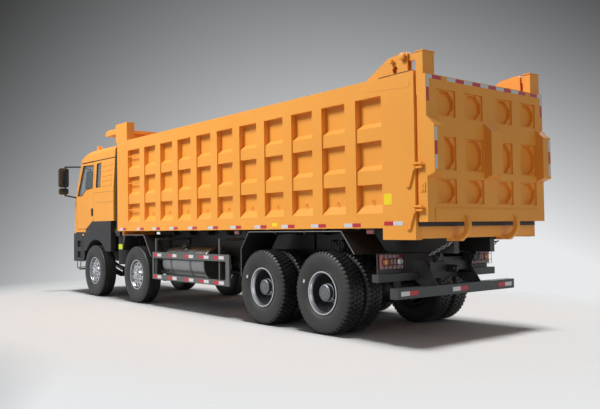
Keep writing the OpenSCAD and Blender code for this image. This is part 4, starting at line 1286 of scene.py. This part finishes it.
    def guard_edges(self) -> None:
        """Adds the pale bead round the mudguards' outer edges."""
        origin = last_axle()
        edges = Mould()
        for run in self.guard_folds:
            edges.pipe([(origin + x, self.guard_face - 0.002, z) for x, z in run], 0.006, 8)
        edges.both_sides().piece("mudguard_edges", PALE_EDGE, "chassis")

    def tank_fittings(self) -> None:
        """Adds the filler cap with the grip across it."""
        tilt = Matrix.Rotation(math.radians(self.filler_tilt), 4, "X")
        place = Matrix.Translation(Vector(self.filler) + Vector((last_axle(), 0, 0))) @ tilt
        cap = Mould()
        cap.lathe([(0.0, 0.42), (0.05, 0.42), (0.06, 0.412), (0.061, 0.372), (0.044, 0.37)], place, 36)
        cap.copy_of(Mould().box((-0.014, -0.052, 0.418), (0.014, 0.052, 0.44)), place)
        cap.piece("filler_cap", SEAL, "chassis", bevel=0.003)

    def canister_sticker(self) -> None:
        """Wraps a blank sticker round the air cleaner."""
        x, y, radius = self.cleaner
        first, turn, steps = self.label_turn
        corners = []
        for step in range(steps + 1):
            angle = math.radians(first + turn * step)
            spot = (last_axle() + x + radius * math.cos(angle), y + radius * math.sin(angle))
            corners += [(*spot, z) for z in self.label_z]
        faces = [(2 * i + 2, 2 * i, 2 * i + 1, 2 * i + 3) for i in range(steps)]
        Mould().add(corners, faces).piece("air_cleaner_sticker", LIME, "chassis")

    def hoses(self) -> None:
        """Hangs brake hoses over the bogie and behind the cab, and lines along the rails."""
        origin = last_axle()
        hoses = Mould()
        for start in self.hose_starts:
            hoses.pipe([(origin + start + x, y, z) for x, y, z in self.hose_route], 0.011, 8)
        rear, front = (origin + end for end in self.line_ends)
        for z in self.line_heights:
            hoses.bar((rear, self.line_y, z), (front, self.line_y, z), 0.009, 8)
        for start in self.front_starts:
            hoses.pipe([(origin + start + x, y, z) for x, y, z in self.front_route], 0.018, 8)
        hoses.both_sides().piece("brake_hoses", HOSE, "chassis")

    def dress(self) -> None:
        """Dresses the chassis."""
        self.tapes()
        self.lamps()
        self.guard_edges()
        self.tank_fittings()
        self.canister_sticker()
        self.hoses()


@dataclass
class LockChains:
    """The chains between the rails' ends and the bed, link by link.

    Attributes:
        low: Middle of the lowest link's end, from the last axle.
        high: Middle of the highest link's end.
        links: Links in a chain.
        wire: Radius of a link's bar.
        half: Half the width between a link's bars.
    """

    low: Point = (-1.29, 0.48, 1.0824)
    high: Point = (-1.635, 0.48, 1.2426)
    links: int = 9
    wire: float = 0.0065
    half: float = 0.016

    def link(self, straight: float) -> Mould:
        """One link about the origin, along Z.

        Args:
            straight: Length of its straight sides.

        Returns:
            A mould with the link.
        """
        path = []
        for hand in (1, -1):
            for step in range(9):
                angle = math.pi * step / 8
                x, z = self.half * math.cos(angle), straight / 2 + self.half * math.sin(angle)
                path.append((hand * x, 0.0, hand * z))
        return Mould().pipe(path, self.wire, 10, closed=True)

    def dress(self) -> None:
        """Hangs both chains between the chassis and the bed."""
        shift = Vector((last_axle(), 0, 0))
        low, high = Vector(self.low) + shift, Vector(self.high) + shift
        run = high - low
        overlap = 2 * (self.half - self.wire)
        straight = (run.length - (self.links - 1) * overlap) / self.links
        aim = run.to_track_quat("Z", "Y").to_matrix().to_4x4()
        chain, link = Mould(), self.link(straight)
        for i in range(self.links):
            middle = low + run.normalized() * (straight / 2 + i * (straight + overlap))
            turn = Matrix.Rotation(math.pi / 2 * (i % 2), 4, "Z")
            chain.copy_of(link, Matrix.Translation(middle) @ aim @ turn)
        links = chain.both_sides().piece("chain_links", CHAIN, None)
        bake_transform(links)
        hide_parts("lock_chains")


@dataclass
class CabTrim:
    """Seals, handles, wipers, grille and mirror glass.

    Attributes:
        half: Half the cab's width at the doors.
        belt: Height above which the sides lean in.
        lean: How far they have leaned in at the roof's edge.
        roof_edge: Height of that edge.
        nose: Front of the cab, from the last axle.
        screen_foot: Height where the windscreen begins to rake.
        bulge: Radius of the nose seen from above.
        rake: Windscreen's lean in degrees.
        window: Corners of a door's window, from the last axle.
        quarter: Lower rear and upper front corner of the quarter window.
        seal_wire: Radius of the windows' seals.
        seal_sunk: How far their middle lies inside the cab's side.
        handle: Corners of a door handle's plate and grip.
        gutter: Points along the roof's gutter.
        gutter_z: Its height.
        joints: Lower edges of the joints in the cab's rear sides.
        joint_ends: Where those start and end.
        slots: Slots of the grille.
        slot_z: Lower edge of the lowest.
        slot_pitch: From slot to slot.
        slot_height: Height of one.
        slot_half: Half their length.
        slot_steps: Flat stretches along one.
        mesh_depth: Distance of the mesh behind the nose.
        wipers: Where the wipers start across the truck.
        wiper_steps: Points along a wiper's blade and arm.
        wiper_rods: Step, height, rise a step, distance off the nose and radius of blade and arm.
        mirror_panes: Corners of the mirrors' glasses.
        bumper_joint: Corners of the dark joint over the bumper.
        side_lamp: Corners of the side lamp.
        step_route: Points along a wire step's side.
        step_sides: Places of its sides across the truck.
        step_treads: Places and heights of its treads.
        step_wire: Radius of its wire.
    """

    half: float = 1.15
    belt: float = 2.3
    lean: float = 0.048
    roof_edge: float = 3.17
    nose: float = 9.32
    screen_foot: float = 2.08
    bulge: float = 3.76
    rake: float = 18.8
    window: tuple[Flat, ...] = (
        (8.08, 2.42), (8.08, 2.94), (8.68, 2.965), (8.945, 2.27), (8.69, 2.27), (8.46, 2.4),
    )
    quarter: tuple[Flat, Flat] = ((7.66, 2.42), (7.88, 2.96))
    seal_wire: float = 0.011
    seal_sunk: float = -0.003
    handle: tuple[tuple[Point, Point], ...] = (
        ((8.04, 1.129, 1.787), (8.166, 1.136, 1.953)),
        ((8.086, 1.133, 1.776), (8.126, 1.153, 1.964)),
    )
    gutter: tuple[float, ...] = (6.94, 8.0, 8.74)
    gutter_z: float = 3.03
    joints: Flat = (2.3, 2.07)
    joint_ends: Flat = (6.94, 7.97)
    slots: int = 4
    slot_z: float = 1.565
    slot_pitch: float = 0.105
    slot_height: float = 0.05
    slot_half: float = 0.775
    slot_steps: int = 24
    mesh_depth: float = 0.02
    wipers: Flat = (-0.05, -0.85)
    wiper_steps: int = 10
    wiper_rods: tuple[tuple[float, ...], ...] = (
        (0.09, 2.18, 0.004, 0.012, 0.009),
        (0.05, 2.1, 0.011, 0.022, 0.007),
    )
    mirror_panes: tuple[tuple[Point, Point], ...] = (
        ((9.042, 1.35, 2.5), (9.047, 1.53, 2.91)),
        ((9.047, 1.355, 2.33), (9.052, 1.525, 2.44)),
    )
    bumper_joint: tuple[Point, Point] = ((8.64, 1.04, 1.385), (9.12, 1.13, 1.426))
    side_lamp: tuple[Point, Point] = ((8.53, 1.158, 1.34), (8.61, 1.174, 1.38))
    step_route: tuple[Flat, ...] = (
        (9.2, 0.76), (9.23, 0.6), (9.21, 0.57), (9.05, 0.53), (9.03, 0.55), (9.0, 0.76),
    )
    step_sides: Flat = (1.06, 0.82)
    step_treads: tuple[Flat, ...] = ((9.215, 0.58), (9.13, 0.55), (9.04, 0.54))
    step_wire: float = 0.011

    def side_y(self, z: float) -> float:
        """Distance of the cab's side from the middle at a height."""
        return self.half - self.lean * max(0.0, z - self.belt) / (self.roof_edge - self.belt)

    def nose_x(self, y: float, z: float) -> float:
        """The cab's front face.

        Args:
            y: Distance from the middle.
            z: Height.

        Returns:
            Its place on X.
        """
        back = -self.bulge + math.sqrt(self.bulge**2 - y**2)
        if z < self.screen_foot:
            return last_axle() + self.nose + back
        rake = math.radians(self.rake)
        rise = (z - self.screen_foot - back * math.sin(rake)) / math.cos(rake)
        return last_axle() + self.nose + back * math.cos(rake) - rise * math.sin(rake)

    def on_side(self, x: float, z: float, out: float = 0.0) -> Point:
        """A point on the cab's left side, a little way out of it."""
        return (last_axle() + x, self.side_y(z) + out, z)

    def seal(self, outline: Sequence[Flat]) -> Mould:
        """The seal round a window in the cab's left side."""
        path = [self.on_side(x, z, self.seal_sunk) for x, z in outline]
        return Mould().pipe(path, self.seal_wire, 8, closed=True)

    def doors(self) -> None:
        """Adds window seals and handles to the doors."""
        for side in Side:
            flip = Matrix.Diagonal((1, side.value, 1, 1))
            body = f"door_{side.word}"
            seal = Mould().copy_of(self.seal(self.window), flip)
            seal.piece(f"window_seal_{side.word}", SEAL, body)
            handle = Mould().copy_of(boxes_of(self.handle), flip)
            handle.piece(f"door_handle_{side.word}", SEAL, body, bevel=TRIM_BEVEL)

    def seams(self) -> None:
        """Adds the quarter windows' seals, the roof's gutters and the panel joints."""
        (x0, z0), (x1, z1) = self.quarter
        seals = self.seal(((x0, z0), (x0, z1), (x1, z1), (x1, z0)))
        seals.pipe([self.on_side(x, self.gutter_z, 0.001) for x in self.gutter], 0.009, 8)
        start, end = (last_axle() + place for place in self.joint_ends)
        for z in self.joints:
            seals.box((start, self.half - 0.001, z), (end, self.half + 0.001, z + 0.004))
        seals.both_sides().piece("cab_seals", SEAL, "chassis")

    def face(self) -> None:
        """Adds the grille behind the nose's slots, and the wipers."""
        grille = Mould()
        for slot in range(self.slots):
            low = self.slot_z + self.slot_pitch * slot
            corners = []
            for step in range(self.slot_steps + 1):
                y = self.slot_half * (2 * step / self.slot_steps - 1)
                edges = (low, low + self.slot_height)
                corners += [(self.nose_x(y, z) - self.mesh_depth, y, z) for z in edges]
            faces = [(2 * i, 2 * i + 2, 2 * i + 3, 2 * i + 1) for i in range(self.slot_steps)]
            grille.add(corners, faces)
        grille.piece("grille_mesh", SEAL, "chassis")
        wipers = Mould()
        for start in self.wipers:
            for across, foot, rise, off, radius in self.wiper_rods:
                rod = [(start + across * step, foot + rise * step) for step in range(self.wiper_steps)]
                wipers.pipe([(self.nose_x(y, z) + off, y, z) for y, z in rod], radius, 6)
        wipers.piece("wipers", SEAL, "chassis")

    def fittings(self) -> None:
        """Adds mirror glass, the joints over the bumper, side lamps and the wire steps."""
        for pairs, name, finish, bevel in (
            (self.mirror_panes, "mirror_glass", MIRROR, 0.002),
            ((self.bumper_joint,), "bumper_joints", SEAL, TRIM_BEVEL),
            ((self.side_lamp,), "side_lamps", LAMP_AMBER, TRIM_BEVEL),
        ):
            boxes_of(pairs).both_sides().piece(name, finish, "chassis", bevel=bevel)
        origin = last_axle()
        step = Mould()
        for y in self.step_sides:
            step.pipe([(origin + x, y, z) for x, z in self.step_route], self.step_wire, 8)
        outer, inner = self.step_sides
        for x, z in self.step_treads:
            step.bar((origin + x, inner, z), (origin + x, outer, z), self.step_wire, 8)
        step.both_sides().piece("wire_steps", PALE_EDGE, "chassis")

    def dress(self) -> None:
        """Dresses the cab."""
        self.doors()
        self.seams()
        self.face()
        self.fittings()


@dataclass(frozen=True)
class SoftLamp:
    """A square panel of light.

    Attributes:
        name: Lamp name.
        place: Where it stands.
        size: Width of the panel.
        power: Watts.
        aim: Where it points.
    """

    name: str
    place: Point
    size: float
    power: float
    aim: Point = (-0.5, 0.0, 1.8)

    def hang(self) -> bpy.types.Object:
        """Adds the lamp to the scene.

        Returns:
            The lamp.
        """
        data = bpy.data.lights.new(self.name, "AREA")
        data.size = self.size
        data.energy = self.power
        lamp = bpy.data.objects.new(self.name, data)
        bpy.context.scene.collection.objects.link(lamp)
        lamp.location = self.place
        lamp.rotation_euler = (Vector(self.aim) - Vector(self.place)).to_track_quat("-Z", "Y").to_euler()
        return lamp


@dataclass
class Studio:
    """Floor, lights, backdrop and camera.

    Attributes:
        eye: Camera place.
        yaw: Viewing direction about Z, from +X.
        pitch: Viewing direction above the horizon.
        roll: Turn about the viewing direction.
        lens: Focal length in millimetres.
        film: Width of the film in millimetres.
        view_end: Farthest distance that the camera sees.
        floor_colour: Floor under the truck.
        floor_half: Half the floor's width.
        apron: Half length and half width of the floor that stays whole.
        fade_run: Share of those over which the rest of it passes into the backdrop.
        tint: Colour cast of the backdrop.
        top_tone: Backdrop's tone at the top of the picture.
        top_sine: Sine of the height that the top stands at.
        rise: Growth of the tone per unit of that sine, downward.
        sag: Loss of tone with the squared sine of the angle off the middle.
        palest: Most tone that the backdrop reaches, and its tone on every other side.
        field: Cosine of the angle off the middle where those sides begin.
        field_run: Span of that cosine over which the backdrop passes into them.
        centre: Sine of the angle from the view's middle to the backdrop's own.
        tilt: Change of the tone's growth across the picture.
        fill: Strength of the even light.
        fill_colour: Colour of the even light.
        truck_lamps: Lamps that light the truck and not the floor.
        floor_lamp: The lamp that lights the floor alone and casts the truck's shadow.
    """

    eye: Point = (-10.9682, 7.4108, 1.4512)
    yaw: float = -38.6592
    pitch: float = 1.9158
    roll: float = -0.7591
    lens: float = 42.08
    film: float = 36
    view_end: float = 400
    floor_colour: Colour = srgb(233, 233, 232)
    floor_half: float = 40.0
    apron: Point = (7.0, 4.5, 1.0)
    fade_run: float = 0.4
    tint: Colour = srgb(251, 253, 255)
    top_tone: float = 0.5
    top_sine: float = 0.3
    rise: float = 1.5
    sag: float = 1.7
    palest: float = 0.91
    field: float = 0.87
    field_run: float = 0.2
    centre: float = 0.03
    tilt: float = 0.5
    fill: float = 0.2
    fill_colour: Colour = srgb(226, 230, 236)
    truck_lamps: tuple[SoftLamp, ...] = (
        SoftLamp("key", (3.0, 13.0, 16.0), 7.0, 4400),
        SoftLamp("rear fill", (-17.0, 2.0, 6.0), 8.0, 250),
        SoftLamp("far side", (2.0, -14.0, 12.0), 8.0, 1600),
    )
    floor_lamp: SoftLamp = SoftLamp("overhead", (-11.0, 3.0, 60.0), 11.0, 28500, (-0.5, 0.0, 0.0))

    def ahead(self) -> Vector:
        """Direction that the camera looks in."""
        yaw, pitch = math.radians(self.yaw), math.radians(self.pitch)
        return Vector((math.cos(pitch) * math.cos(yaw), math.cos(pitch) * math.sin(yaw), math.sin(pitch)))

    def level(self) -> Vector:
        """Level direction to the right of the picture."""
        return self.ahead().cross(Vector((0, 0, 1))).normalized()

    def camera(self) -> None:
        """Places the camera."""
        data = bpy.data.cameras.new("studio camera")
        data.sensor_width = self.film
        data.lens = self.lens
        data.clip_end = self.view_end
        camera = bpy.data.objects.new("studio camera", data)
        bpy.context.scene.collection.objects.link(camera)
        roll = math.radians(self.roll)
        ahead = self.ahead()
        level = self.level()
        upright = level.cross(ahead)
        right = level * math.cos(roll) + upright * math.sin(roll)
        up = upright * math.cos(roll) - level * math.sin(roll)
        turn = Matrix((right, up, -ahead)).transposed().to_4x4()
        camera.matrix_world = Matrix.Translation(self.eye) @ turn
        bpy.context.scene.camera = camera

    def floor(self) -> bpy.types.Object:
        """A pale floor that keeps the truck's shadow and ends softly in the backdrop.

        Returns:
            The floor.
        """
        mesh = bpy.data.meshes.new("floor")
        far = self.floor_half
        mesh.from_pydata([(-far, -far, 0), (far, -far, 0), (far, far, 0), (-far, far, 0)], [], [(0, 1, 2, 3)])
        floor = bpy.data.objects.new("floor", mesh)
        bpy.context.scene.collection.objects.link(floor)
        graph = Graph(bpy.data.materials.new("studio floor"))
        values = {0: graph.coordinates(), 1: self.apron}
        spread = graph.node("ShaderNodeVectorMath", {"operation": "DIVIDE"}, values)
        fade = ((graph.length(spread) - 1.0) / self.fade_run).clamp()
        matt = graph.node("ShaderNodeBsdfDiffuse", {}, {"Color": self.floor_colour})
        clear = graph.node("ShaderNodeBsdfTransparent", {}, {})
        shader = graph.node("ShaderNodeMixShader", {}, {0: fade, 1: matt, 2: clear})
        mesh.materials.append(graph.finish(shader))
        return floor

    def world(self) -> None:
        """Even fill light, and a grey backdrop for rays that see or mirror it."""
        world = bpy.data.worlds.new("studio")
        bpy.context.scene.world = world
        graph = Graph(world)
        direction = graph.node("ShaderNodeTexCoord", {}, {}, "Generated")
        height = graph.node("ShaderNodeSeparateXYZ", {}, {"Vector": direction}, "Z")
        aside = graph.dot(direction, self.level()) - self.centre
        growth = self.rise * (1.0 + self.tilt * aside)
        tone = (self.top_sine - height) * growth + self.top_tone - aside * aside * self.sag
        shade = (tone / self.palest).clamp() * self.palest
        elsewhere = ((self.field - graph.dot(direction, self.ahead())) / self.field_run).clamp()
        held = shade + elsewhere * (self.palest - shade)
        backdrop = graph.mix(held * held, (0, 0, 0, 1), self.tint)
        rays = ("Camera", "Glossy", "Transmission")
        seen = sum_of(graph.node("ShaderNodeLightPath", {}, {}, f"Is {ray} Ray") for ray in rays)
        light = graph.node("ShaderNodeBackground", {}, {"Color": self.fill_colour, "Strength": self.fill})
        picture = graph.node("ShaderNodeBackground", {}, {"Color": backdrop})
        graph.finish(graph.node("ShaderNodeMixShader", {}, {0: seen.clamp(), 1: light, 2: picture}))

    @staticmethod
    def aim_at_floor(floor: bpy.types.Object, lamps: Sequence[bpy.types.Object], only: bool) -> None:
        """Keeps lamps for the floor alone, or off it.

        Args:
            floor: The floor.
            lamps: The lamps.
            only: True for the floor alone.
        """
        group = bpy.data.collections.new("lit floor" if only else "unlit floor")
        group.objects.link(floor)
        group.collection_objects[0].light_linking.link_state = "INCLUDE" if only else "EXCLUDE"
        for lamp in lamps:
            lamp.light_linking.receiver_collection = group

    def build(self) -> None:
        """Sets up the whole studio."""
        bpy.context.scene.view_settings.view_transform = "Standard"
        self.camera()
        floor = self.floor()
        self.world()
        on_truck = [lamp.hang() for lamp in self.truck_lamps]
        overhead = self.floor_lamp.hang()
        self.aim_at_floor(floor, on_truck, only=False)
        self.aim_at_floor(floor, [overhead], only=True)


def main() -> None:
    """Builds the studio and dresses every sub-assembly."""
    logging.basicConfig(level=logging.INFO, format="%(message)s")
    Studio().build()
    Bodywork().dress()
    for side in Side:
        for axle in (1, 2):
            SteeredWheel(axle, side).dress()
        for axle in (3, 4):
            TwinWheel(axle, side).dress()
    BedTrim().dress()
    GateTrim().dress()
    ChassisTrim().dress()
    LockChains().dress()
    CabTrim().dress()


if __name__ == "__main__":
    main()
